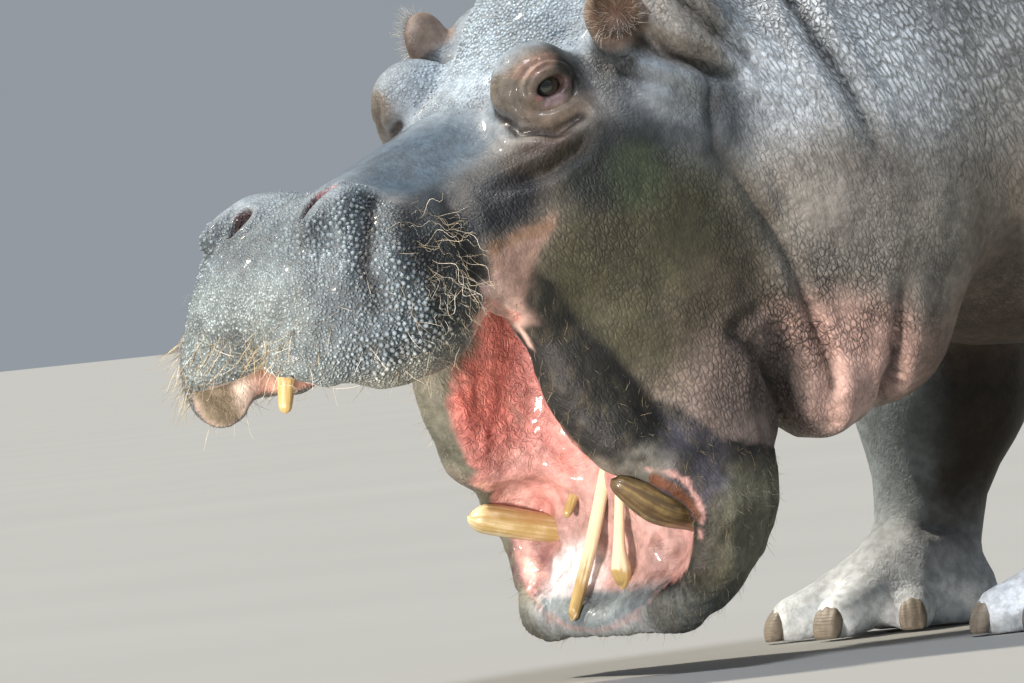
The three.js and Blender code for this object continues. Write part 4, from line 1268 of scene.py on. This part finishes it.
# ---------------------------------------------------------------- the skin
# The space that the skin is looked for in, the grid's step, the share of triangles that is kept, and
# the longest edge where the skin is fine and round the eyes, in millimetres.
SPACE = ((-640.0, -1130.0, -24.0), (640.0, 2350.0, 1460.0))
STEP = 8.0
KEPT_SHARE = 0.235
FINE_EDGE = 6.0
EYE_EDGE = 3.2


def made_skin(hide):
    """The skin as one closed mesh, finest at the head, with its colours and marks."""
    p, quads = surface_of(grid_of(skin_at, *SPACE, STEP), SPACE[0], STEP)
    p = settle(skin_at, p, rounds=1, most=4)
    keep = np.clip((120 - p[:, 1]) / 260, 0, 1)
    keep = np.maximum(keep, 0.6 * smooth((160 - p[:, 2]) / 60))
    p, t = thinned(p, quads, keep, KEPT_SHARE)
    f, _, u = SKULL.places(p)
    nose = (f > 260) & (u > -75)
    d, r = along(p, JAW, LIP)
    ears = spot(p, SKULL, (-112, 228, 46), (64, 66, 72), soft=0.1) > 0.5
    eyes = spot(p, SKULL, (0, 190, -10), (72, 80, 80), soft=0.1) > 0.5
    folds = np.min([along(p, fr, rows)[0] / width for fr, rows, width in FOLDS], axis=0) < 2.2
    fine = nose | (d < r + 18) | ears | eyes | folds
    p, t = refined(p, t, fine, FINE_EDGE)
    eyes = spot(p, SKULL, (4, 198, 0), (58, 50, 52), soft=0.1) > 0.5
    p, t = refined(p, t, eyes, EYE_EDGE)
    p = settle(skin_at, p, rounds=2, most=4)
    p = sculpt(p, t)
    p[:, 2] = np.maximum(p[:, 2], 0)
    n = normals_of(p, t)
    mesh = mesh_of("skin", (p + TO_ROW) * MM, t)
    store(mesh, "tint", np.c_[painted(p, n), np.ones(len(p))])
    for name, value in marks_of(p).items():
        store(mesh, name, value)
    return object_of(mesh, hide), p, n


# ---------------------------------------------------------------- teeth, eyes and nails
# Rings between two stations of a tooth, and points in a ring.
RINGS = 14
AROUND = 24


def tube_faces(count, sides):
    """The quads between count + 1 rings of points."""
    faces = []
    for i in range(count):
        for j in range(sides):
            k = (j + 1) % sides
            faces.append([i * sides + j, i * sides + k, (i + 1) * sides + k, (i + 1) * sides + j])
    return np.array(faces)


def swept(fr, rows, s, blunt, groove=0.05, bevel=0.0):
    """A tooth through stations of (forward, sideways, up, radius): points in metres, faces, and each
    point's place on the tooth as (round it, along it)."""
    stations = np.array([[*fr.point(f, x * s, u), r] for f, x, u, r in rows])
    spans = len(stations) - 1
    padded = np.vstack([2 * stations[0] - stations[1], stations, 2 * stations[-1] - stations[-2]])

    def at(w):
        k = min(int(w * spans), spans - 1)
        t = w * spans - k
        a, b, c, d = padded[k:k + 4]
        square = 2 * a - 5 * b + 4 * c - d
        cube = 3 * b - a - 3 * c + d
        return 0.5 * (2 * b + (c - a) * t + square * t**2 + cube * t**3)

    points, grain = [], []
    count = spans * RINGS
    for i in range(count + 1):
        w = i / count
        here = at(w)
        ahead = at(min(w + 0.01, 1))[:3] - at(max(w - 0.01, 0))[:3]
        ahead /= np.linalg.norm(ahead)
        sideways = np.array([1.0, 0, 0]) - ahead[0] * ahead
        sideways /= np.linalg.norm(sideways)
        over = np.cross(ahead, sideways)
        to_tip = np.linalg.norm(stations[-1, :3] - here[:3]) / (here[3] / blunt)
        round_off = math.sqrt(max(0.0, 1 - max(0.0, 1 - to_tip) ** 2))
        for j in range(AROUND):
            a = 2 * math.pi * j / AROUND
            r = here[3] * (1 + groove * math.cos(3 * a + 1) + 0.4 * groove * math.cos(7 * a))
            r *= max(round_off, 0.02)
            place = here[:3] + sideways * math.cos(a) * r + over * math.sin(a) * r
            place -= ahead * bevel * here[3] * max(0, math.cos(a - 1.2)) * smooth(1.6 - to_tip)
            points.append(place)
            grain.append((j / AROUND, w))
    return (np.array(points) + TO_ROW) * MM, tube_faces(count, AROUND), np.array(grain)


def tooth(name, ivory, fr, rows, s, stain, **shape):
    """A tooth as a closed mesh, stained from the first amount at its root to the second at its tip."""
    points, faces, grain = swept(fr, rows, s, **shape)
    me = mesh_of(name, points, faces)
    bm = bmesh.new()
    bm.from_mesh(me)
    bm.verts.ensure_lookup_table()
    bm.faces.new(bm.verts[:AROUND][::-1])
    bm.faces.new(bm.verts[-AROUND:])
    bmesh.ops.recalc_face_normals(bm, faces=bm.faces)
    bm.to_mesh(me)
    bm.free()
    shade_smooth(me)
    loops = np.empty(len(me.loops), np.int32)
    me.loops.foreach_get("vertex_index", loops)
    uv = grain[loops]
    # The last strip of faces closes the turn, so its far side is at 1 and not at 0.
    starts = np.empty(len(me.polygons), np.int32)
    me.polygons.foreach_get("loop_start", starts)
    for k in starts[:len(faces)]:
        face = uv[k:k + 4, 0]
        if face.max() - face.min() > 0.5:
            face[face < 0.5] += 1
    me.uv_layers.new(name="grain").data.foreach_set("uv", uv.astype(np.float32).ravel())
    w = grain[:, 1]
    store(me, "stain", stain[0] + (stain[1] - stain[0]) * smooth((w - 0.45) / 0.5))
    o = object_of(me, ivory)
    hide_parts(name)
    return o


# The teeth, from root to tip: places in the jaw's or the skull's frame, and radius.
LOWER_TUSK = {
    "left": [(530, 166, -112, 20), (504, 196, -30, 22), (484, 203, 40, 25), (446, 190, 98, 12)],
    "right": [(516, 162, -104, 20), (507, 178, -36, 20), (489, 204, 40, 21), (482, 218, 68, 16)],
}
FRONT_INCISOR = {
    "left": [(430, 30, -24, 6), (530, 32, -12, 8), (572, 32, -12, 14), (596, 32, -12, 11)],
    "right": [(430, 30, -42, 9), (540, 35, -8, 9), (635, 40, 27, 8)],
}
SIDE_INCISOR = [(435, 88, -44, 7), (470, 92, -24, 7), (494, 95, -12, 6)]
UPPER_INCISOR = [(462, 76, -160, 13), (480, 80, -192, 13), (506, 82, -236, 8)]
UPPER_TUSK = [(398, 112, -164, 16), (405, 116, -187, 16), (410, 119, -205, 10)]


def made_teeth(ivory):
    """The left upper incisor and four teeth on each side, of which the left tusk is the brownest."""
    teeth = [tooth("upper_incisor", ivory, SKULL, UPPER_INCISOR, 1, (0.5, 0.55), blunt=0.9, groove=0.02)]
    for side, s in SIDES.items():
        tusk_stain = (0.98, 0.98) if side == "left" else (0.45, 0.3)
        for name, fr, rows, stain, blunt, bevel in (
            ("lower_tusk", JAW, LOWER_TUSK[side], tusk_stain, 0.9, 0.3),
            ("front_incisor", JAW, FRONT_INCISOR[side], (0.0, 0.7), 0.7, 0.8),
            ("side_incisor", JAW, SIDE_INCISOR, (0.45, 0.6), 0.8, 0.0),
            ("upper_tusk", SKULL, UPPER_TUSK, (0.3, 0.5), 0.8, 0.0),
        ):
            teeth.append(tooth(f"{name}_{side}", ivory, fr, rows, s, stain, blunt=blunt, bevel=bevel))
    return teeth


def made_eye(side, wet):
    """An eyeball with its cornea, looking out, a little ahead and up."""
    node = f"eye_{side}"
    gaze = np.array([0.90 * SIDES[side], -0.42, 0.10])
    gaze /= np.linalg.norm(gaze)
    across = np.cross((0, 0, 1), gaze)
    across /= np.linalg.norm(across)
    up = np.cross(gaze, across)
    bm = bmesh.new()
    bmesh.ops.create_uvsphere(bm, u_segments=48, v_segments=32, radius=1)
    layer = bm.loops.layers.uv.new("gaze")
    for face in bm.faces:
        face.smooth = True
        for loop in face.loops:
            co = loop.vert.co
            loop[layer].uv = (co.x, co.y) if co.z > 0 else (co.x + math.copysign(2, co.x), co.y)
    for v in bm.verts:
        out = math.hypot(v.co.x, v.co.y)
        swell = 1 + 0.09 * float(smooth((0.66 - out) / 0.4)) * (v.co.z > 0)
        v.co = v.co * EYE_R * MM * swell
    me = bpy.data.meshes.new("eyeball_" + side)
    bm.to_mesh(me)
    bm.free()
    turn = Matrix((across, up, gaze)).transposed().to_4x4()
    me.transform(Matrix.Translation(Vector(middle(node))) @ turn)
    o = object_of(me, wet)
    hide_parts(node)
    return o


def made_nails(horn):
    """A toenail on each toe: a rounded plate with a blunt lower edge."""
    nails = []
    for leg, (_, toes) in LEGS.items():
        for i, (tip, turn, r, half) in enumerate(toes):
            a = math.radians(turn)
            out = r - 7
            centre = WORLD.point(tip[0] + out * math.cos(a), tip[1] + out * math.sin(a), tip[2] - 7)
            bm = bmesh.new()
            bmesh.ops.create_uvsphere(bm, u_segments=28, v_segments=20, radius=1)
            for v in bm.verts:
                v.co.x = math.copysign(abs(v.co.x) ** 0.8, v.co.x)
                v.co = Vector((v.co.x * half, v.co.y * 13, v.co.z * 28))
                v.co.y -= 1.2 * math.cos(v.co.x / half * 9) * (v.co.y < 0)
            # Turned so that its front, -y, points along the toe and leans back.
            spin = Matrix.Rotation(a, 4, "Z") @ Matrix.Rotation(math.radians(-18), 4, "X")
            bmesh.ops.transform(bm, matrix=spin, verts=bm.verts)
            for v in bm.verts:
                v.co = (v.co + Vector(centre + TO_ROW)) * MM
                v.co.z = max(v.co.z, 3 * MM)
            me = bpy.data.meshes.new(f"toenail_{leg}_{i + 1}")
            bm.to_mesh(me)
            bm.free()
            shade_smooth(me)
            o = object_of(me, horn)
            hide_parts(f"{leg}_nail_{i + 1}")
            nails.append(o)
    return nails


# ---------------------------------------------------------------- bristles
def pattern(name, points, faces, own):
    """A small mesh that is planted many times over, and doesn't show itself."""
    me = mesh_of(name, points, faces)
    store(me, "own", own)
    o = object_of(me)
    o.hide_render = True
    return o


def bristle(name, bend, wave, thick, rings=6):
    """One three-sided bristle of unit length that stands on +Z, with its place on itself in "own"."""
    sides = 3
    points, own = [], []
    for i in range(rings + 1):
        t = i / rings
        r = thick * (1 - 0.7 * t)
        x = bend * t * t + wave * math.sin(5 * t) * t
        y = wave * math.sin(8 * t + 1) * t
        for j in range(sides):
            a = 2 * math.pi * j / sides
            points.append((x + r * math.cos(a), y + r * math.sin(a), t * (1 - 0.25 * bend * bend)))
            own.append((j / sides, t, 0))
    return pattern(name, points, tube_faces(rings, sides), own)


def grain(name, squash):
    """A low dome a unit wide that stands on +Z, for a wart, with its height on itself in "own"."""
    rings = [(-0.25, 0.54), (0.16 * squash, 0.44), (0.40 * squash, 0.22)]
    points = [(r * math.cos(a), r * math.sin(a), z) for z, r in rings for a in np.arange(6) * math.pi / 3]
    points.append((0, 0, 0.47 * squash))
    faces = []
    for j in range(6):
        k = (j + 1) % 6
        for low in (0, 6):
            faces += [[low + j, low + k, low + 6 + k], [low + j, low + 6 + k, low + 6 + j]]
        faces.append([12 + j, 12 + k, 18])
    own = np.array(points)
    own[:, 2] = np.repeat((0, 0.55, 0.9, 1), (6, 6, 6, 1))
    return pattern(name, points, faces, own)


def planting_tree(mask, shapes, finish, apart):
    """Geometry Nodes that plant bristles or warts on the skin where a mask allows, laid along "lie".
    With apart, no two roots are nearer to each other than Apart by."""
    tree = bpy.data.node_groups.new("plant_" + mask, "GeometryNodeTree")
    face = tree.interface
    face.new_socket("Skin", in_out="INPUT", socket_type="NodeSocketGeometry")
    for name in ("Per square metre", "Apart by", "Shortest", "Longest", "Stand", "Spread"):
        face.new_socket(name, in_out="INPUT", socket_type="NodeSocketFloat")
    face.new_socket("Seed", in_out="INPUT", socket_type="NodeSocketInt")
    face.new_socket("Bristles", in_out="OUTPUT", socket_type="NodeSocketGeometry")
    given = add(tree, "NodeGroupInput").outputs

    def named(name, kind):
        return add(tree, "GeometryNodeInputNamedAttribute", {"Name": name}, data_type=kind).outputs[0]

    def chance(low, high, seed, kind="FLOAT"):
        """A random number, or a vector, for each root."""
        first = 0 if kind == "FLOAT_VECTOR" else 2
        inputs = {first: low, first + 1: high, "Seed": seed}
        outputs = add(tree, "FunctionNodeRandomValue", inputs, data_type=kind).outputs
        return outputs[first // 2]

    def kept(geometry, name, value, kind="FLOAT", domain="POINT"):
        """Geometry that carries a value under a name."""
        inputs = {"Geometry": geometry, "Name": name, "Value": value}
        how = {"data_type": kind, "domain": domain}
        return add(tree, "GeometryNodeStoreNamedAttribute", inputs, **how).outputs[0]

    if apart:
        share = {"Distance Min": given["Apart by"], "Density Max": given["Per square metre"]}
        share["Density Factor"] = named(mask, "FLOAT")
    else:
        share = {"Density": math_of(tree, "MULTIPLY", given["Per square metre"], named(mask, "FLOAT"))}
    planted = add(
        tree,
        "GeometryNodeDistributePointsOnFaces",
        {"Mesh": given["Skin"], "Seed": given["Seed"], **share},
        distribute_method="POISSON" if apart else "RANDOM",
    )
    roots = kept(planted.outputs["Points"], "shade", chance(0.0, 1.0, given["Seed"]))

    # A bristle points along the lie, stands off the skin, strays, and is turned about itself.
    stand = vector_math(tree, "SCALE", planted.outputs["Normal"], given["Stand"])
    stray = chance((-1, -1, -1), (1, 1, 1), 7, "FLOAT_VECTOR")
    way = vector_math(tree, "ADD", stand, named("lie", "FLOAT_VECTOR"))
    way = vector_math(tree, "ADD", way, vector_math(tree, "SCALE", stray, given["Spread"]))
    facing = add(tree, "FunctionNodeAlignRotationToVector", {"Vector": way}, axis="Z").outputs[0]
    about = {"Axis": (0, 0, 1), "Angle": chance(0.0, 6.28, 3)}
    spin = add(tree, "FunctionNodeAxisAngleToRotation", about).outputs[0]
    turns = {"Rotation": facing, "Rotate By": spin}
    facing = add(tree, "FunctionNodeRotateRotation", turns, rotation_space="LOCAL").outputs[0]
    length = chance(given["Shortest"], given["Longest"], 5)
    length = math_of(tree, "MULTIPLY", length, ramp(tree, named(mask, "FLOAT"), 0, 1, 0.3, 1))

    kinds = add(tree, "GeometryNodeJoinGeometry")
    for shape in shapes:
        source = add(tree, "GeometryNodeObjectInfo", {"Object": shape, "As Instance": True})
        tree.links.new(source.outputs["Geometry"], kinds.inputs[0])
    which = {"Points": roots, "Instance": kinds.outputs[0], "Pick Instance": True}
    which |= {"Rotation": facing, "Scale": length}
    placed = add(tree, "GeometryNodeInstanceOnPoints", which).outputs[0]
    real = add(tree, "GeometryNodeRealizeInstances", {"Geometry": placed}).outputs[0]
    # Each bristle is unwrapped into a small square at its root's place on the skin's unwrap.
    own = named("own", "FLOAT_VECTOR")
    square = vector_math(tree, "SCALE", own, 0.003)
    square = vector_math(tree, "ADD", named("root", "FLOAT_VECTOR"), square)
    real = kept(real, "OFBake", square, "FLOAT2", "CORNER")
    tip = add(tree, "ShaderNodeSeparateXYZ", {0: own}).outputs["Z" if apart else "Y"]
    real = kept(real, "tip", tip)
    real = add(tree, "GeometryNodeSetMaterial", {"Geometry": real, "Material": finish}).outputs[0]
    out = add(tree, "NodeGroupOutput")
    tree.links.new(real, out.inputs[0])
    return tree


def planted(name, skin, mask, shapes, finish, apart=False, **sizes):
    """A coat of bristles or warts as one plain mesh."""
    tree = planting_tree(mask, shapes, finish, apart)
    carrier = object_of(skin.data.copy())
    carrier.name = name + "_roots"
    m = carrier.modifiers.new("plant", "NODES")
    m.node_group = tree
    for item in tree.interface.items_tree:
        key = item.name.replace(" ", "_").lower()
        if item.in_out == "INPUT" and key in sizes:
            m[item.identifier] = sizes[key]
    made = bpy.data.meshes.new_from_object(carrier.evaluated_get(bpy.context.evaluated_depsgraph_get()))
    made.name = name
    kept = ("tint", "wet", "cracks", "tip", "shade", "OFBake", "position")
    for spare in [a.name for a in made.attributes if not a.name.startswith((".", *kept))]:
        if not made.attributes[spare].is_required:
            made.attributes.remove(made.attributes[spare])
    made.materials.clear()
    made.materials.append(finish)
    shade_smooth(made)
    data = carrier.data
    bpy.data.objects.remove(carrier)
    bpy.data.meshes.remove(data)
    o = object_of(made)
    return o


# The warts are largest along this line over the lip's pad, in the skull's frame.
COARSEST = [(350, 110, -50, 0), (330, 150, -110, 0), (330, 165, -190, 0), (400, 150, -220, 0)]


def coat_marks(skin, p, n):
    """Where bristles grow, how they lie, and each root's place on an unwrap of the skin."""
    f, x, u = SKULL.places(p)
    g = JAW.places(p)[0]
    inner = lining(p)
    outer = 1 - smooth(inner * 3)
    bare = outer * (1 - nostril_rim(p))

    def grow(name, where):
        store(skin.data, "hair_" + name, np.clip(where, 0, 1))

    muzzle = warty(p)
    coarsest, _ = along(p, SKULL, COARSEST)
    coarse = 0.42 + 0.58 * smooth((95 - coarsest) / 60)
    coarse *= 1 - 0.8 * smooth((-190 - u + 0.1 * (f - 330)) / 40) * smooth((f - 400) / 40)
    grow("warts", bare * smooth((muzzle - 0.15) / 0.5) * smooth((u + 250) / 26) * coarse)
    crown = spot(p, SKULL, (-70, 0, 40), (190, 190, 130), soft=0.4) * (u > -10)
    grow("grains", outer * crown * (1 - spot(p, SKULL, (0, 176, 0), (84, 80, 90), soft=0.2)))
    front = smooth((f - 440) / 30) * smooth((-90 - u) / 50) * smooth((-n[:, 1] - 0.2) / 0.5)
    grow("moustache", outer * front)
    grow("pad", bare * muzzle * (0.3 + 0.7 * smooth((-60 - u) / 100)))
    grow("curls", outer * spot(p, SKULL, (262, 200, -130), (70, 90, 120), soft=0.6))
    edge = lip_band(p) * (1 - inner) * smooth((g - 150) / 60)
    grow("lip", outer * edge)
    ear = spot(p, SKULL, (-112, 236, 54), (58, 54, 58), soft=0.2)
    rim = smooth((16 - np.abs(EAR_CUP.at(p) + 2)) / 8) * smooth((u - 22) / 16)
    grow("ear", ear * rim)
    tail = smooth((840 - p[:, 2]) / 120) * (p[:, 1] > 2200) * (np.abs(x) < 60)
    grow("tail", tail)
    lie = np.zeros_like(p)
    ahead = SKULL.point(1, 0, 0) - SKULL.point(0, 0, 0)
    down = SKULL.point(0, 0, -1) - SKULL.point(0, 0, 0)
    on_head = (f > 150) & (u > -330)
    lie[on_head] = ahead * 0.35 + down * 0.75
    lie[on_head & (front > 0.1)] = ahead * 0.8 + down * 0.55
    lie[~on_head] = (0, -0.5, -0.7)
    centre = np.tile(SKULL.point(-112, 232, 50), (len(p), 1))
    centre[:, 0] *= np.sign(p[:, 0])
    fan = p - centre
    fan[:, 1] -= 6
    is_ear = ear > 0.05
    lie[is_ear] = 1.4 * (fan / np.maximum(np.linalg.norm(fan, axis=1, keepdims=True), 1e-6))[is_ear]
    lie -= n * (lie * n).sum(axis=1)[:, None] * np.where(is_ear, 0, 1)[:, None]
    is_tail = tail > 0
    lie[is_tail] = (0, 0.15, -0.9)
    store(skin.data, "lie", lie)
    # The unwrap: round the head's or the body's own axis, and along it.
    head = p[:, 1] < -100
    root = np.zeros_like(p)
    root[:, 0] = 0.5 + np.arctan2(x, np.where(head, u + 150, p[:, 2] - 800)) / (2 * math.pi)
    root[:, 1] = np.where(head, 0.02 + (p[:, 1] + 1150) / 2200, 0.5 + (p[:, 1] + 100) / 5200)
    store(skin.data, "root", root)


def made_coats(skin, p, n, hide, straw, pale):
    """The warts of the lips, the grains of the crown, and every tuft of bristles."""
    coat_marks(skin, p, n)
    stiff = [bristle("stiff", 0.25, 0.0, 0.014), bristle("bent", 0.55, 0.03, 0.013)]
    stiff.append(bristle("lean", 0.4, 0.05, 0.014))
    curly = [bristle("curl", 0.5, 0.22, 0.0085, rings=10), bristle("hook", 0.9, 0.3, 0.008, rings=10)]
    domes = [grain("wart", 1.0), grain("flat_wart", 0.7), grain("tall_wart", 1.3)]
    low_domes = [grain("low_grain", 0.35), grain("flat_grain", 0.5)]
    warts = []
    for name, mask, shapes, per_area, apart_by, shortest, longest, seed in (
        ("lip_warts", "hair_warts", domes, 40000.0, 0.0062, 0.0055, 0.0088, 11),
        ("crown_grains", "hair_grains", low_domes, 90000.0, 0.0050, 0.0042, 0.0068, 12),
    ):
        sizes = {"per_square_metre": per_area, "apart_by": apart_by, "shortest": shortest, "longest": longest}
        sizes |= {"stand": 20.0, "spread": 2.0, "seed": seed}
        warts.append(planted(name, skin, mask, shapes, hide, apart=True, **sizes))
    # Painted shade and highlight: a wart is painted darker than the skin at its foot, and paler than it on
    # top, as light falls on it.
    for piece, foot in zip(warts, (0.62, 0.85)):
        tint = piece.data.attributes["tint"].data
        shade = np.empty(len(piece.data.vertices) * 4, np.float32)
        tint.foreach_get("color", shade)
        high = np.empty(len(piece.data.vertices), np.float32)
        piece.data.attributes["tip"].data.foreach_get("value", high)
        shade = shade.reshape(-1, 4)
        shade[:, :3] *= (foot + (1.12 - foot) * high)[:, None]
        tint.foreach_set("color", shade.ravel())
    coats = []
    for name, mask, shapes, finish, per_area, shortest, longest, stand, spread, seed in (
        ("moustache", "hair_moustache", stiff, straw, 5200.0, 0.020, 0.052, 0.55, 0.45, 1),
        ("pad_bristles", "hair_pad", stiff + curly, pale, 3600.0, 0.012, 0.044, 0.4, 0.8, 2),
        ("pad_curls", "hair_curls", curly, pale, 7500.0, 0.03, 0.075, 0.3, 0.7, 3),
        ("lip_bristles", "hair_lip", stiff, straw, 4200.0, 0.008, 0.020, 0.6, 0.6, 4),
        ("ear_fringe", "hair_ear", stiff, pale, 70000.0, 0.012, 0.024, 0.25, 0.3, 5),
        ("tail_hair", "hair_tail", stiff, straw, 16000.0, 0.03, 0.07, 0.45, 0.4, 6),
    ):
        sizes = {"per_square_metre": per_area, "shortest": shortest, "longest": longest}
        sizes |= {"stand": stand, "spread": spread, "seed": seed}
        coats.append(planted(name, skin, mask, shapes, finish, **sizes))
    for name in [a.name for a in skin.data.attributes if a.name.startswith(("lie", "root", "hair_"))]:
        skin.data.attributes.remove(skin.data.attributes[name])
    for shape in stiff + curly + domes + low_domes:
        bpy.data.objects.remove(shape)
    return warts + coats


# ---------------------------------------------------------------- stage
def made_stage():
    """A wide pale floor, soft light from the upper front right of the animal, and the camera."""
    bm = bmesh.new()
    bmesh.ops.create_grid(bm, x_segments=1, y_segments=1, size=400)
    me = bpy.data.meshes.new("floor")
    bm.to_mesh(me)
    bm.free()
    floor = object_of(me, floor_material())
    floor.location = (0, 0, -0.001)
    floor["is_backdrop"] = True

    world = bpy.data.worlds.new("studio")
    world.use_nodes = True
    sky = world.node_tree.nodes["Background"]
    sky.inputs["Color"].default_value = colour("c9d2dc")
    sky.inputs["Strength"].default_value = 0.5
    bpy.context.scene.world = world

    def lamp(name, strength, angle, toward, code, place=None):
        """A sun of a wide angle, or with a place a soft spot lamp of that cone."""
        light = bpy.data.lights.new(name, "SPOT" if place else "SUN")
        light.energy = strength
        light.color = srgb(code)
        o = bpy.data.objects.new(name, light)
        if place:
            light.spot_size = math.radians(angle)
            light.spot_blend = 1.0
            light.shadow_soft_size = 0.25
            o.location = place
        else:
            light.angle = math.radians(angle)
        o.rotation_mode = "QUATERNION"
        o.rotation_quaternion = Vector(toward).to_track_quat("-Z", "Y")
        bpy.context.scene.collection.objects.link(o)

    lamp("key", 5.0, 5, (0.46, 0.44, -0.80), "fff4e4")
    lamp("side", 2.6, 14, (-0.30, 0.30, -0.90), "f4f6ff")
    lamp("mouth", 620.0, 24, (-0.95, 2.60, 0.16), "fff0e6", place=(0.95, -3.75, 0.22))

    # The camera looks from the animal's left front, low, and is rolled by 6 degrees.
    azimuth, elevation, tilt = (math.radians(v) for v in (57, 0.2, 6))
    level = math.cos(elevation)
    back = Vector((math.sin(azimuth) * level, -math.cos(azimuth) * level, math.sin(elevation)))
    right = Vector((math.cos(azimuth), math.sin(azimuth), 0))
    up = back.cross(right)
    across = right * math.cos(tilt) - up * math.sin(tilt)
    over = right * math.sin(tilt) + up * math.cos(tilt)
    camera = bpy.data.objects.new("camera", bpy.data.cameras.new("camera"))
    camera.data.sensor_width = 36
    camera.data.lens = 338.2
    camera.data.clip_end = 2000
    turn = Matrix((across, over, back)).transposed().to_4x4()
    camera.matrix_world = Matrix.Translation((10.8564, -8.2523, 0.5099)) @ turn
    bpy.context.scene.collection.objects.link(camera)
    bpy.context.scene.camera = camera
    bpy.context.scene.view_settings.view_transform = "Standard"


# ---------------------------------------------------------------- the model
FLESH = ["head", "jaw", "neck", "trunk", "tail", "tongue", "ear_left", "ear_right"]
FLESH += [f"{leg}_{part}" for leg in LEG_Y for part in ("leg", "foot")]

hide = hide_material()
skin, places, normals = made_skin(hide)
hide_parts(*FLESH)
pieces = [skin]
straw = bristle_material("straw_bristle", "8d7546", "cdc2a0", "5b4a34")
pale = bristle_material("pale_bristle", "b3a483", "efe9da", "6b5f4e")
pieces += made_coats(skin, places, normals, hide, straw, pale)
pieces += made_teeth(ivory_material())
pieces += [made_eye(side, wet) for wet in [eye_material()] for side in SIDES]
pieces += made_nails(nail_material())
for piece in pieces:
    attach(piece, "root")
made_stage()

corners = lambda box: [list(map(float, corner)) for corner in box]
{"cad": corners(cad_box), "visual": corners(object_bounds())}
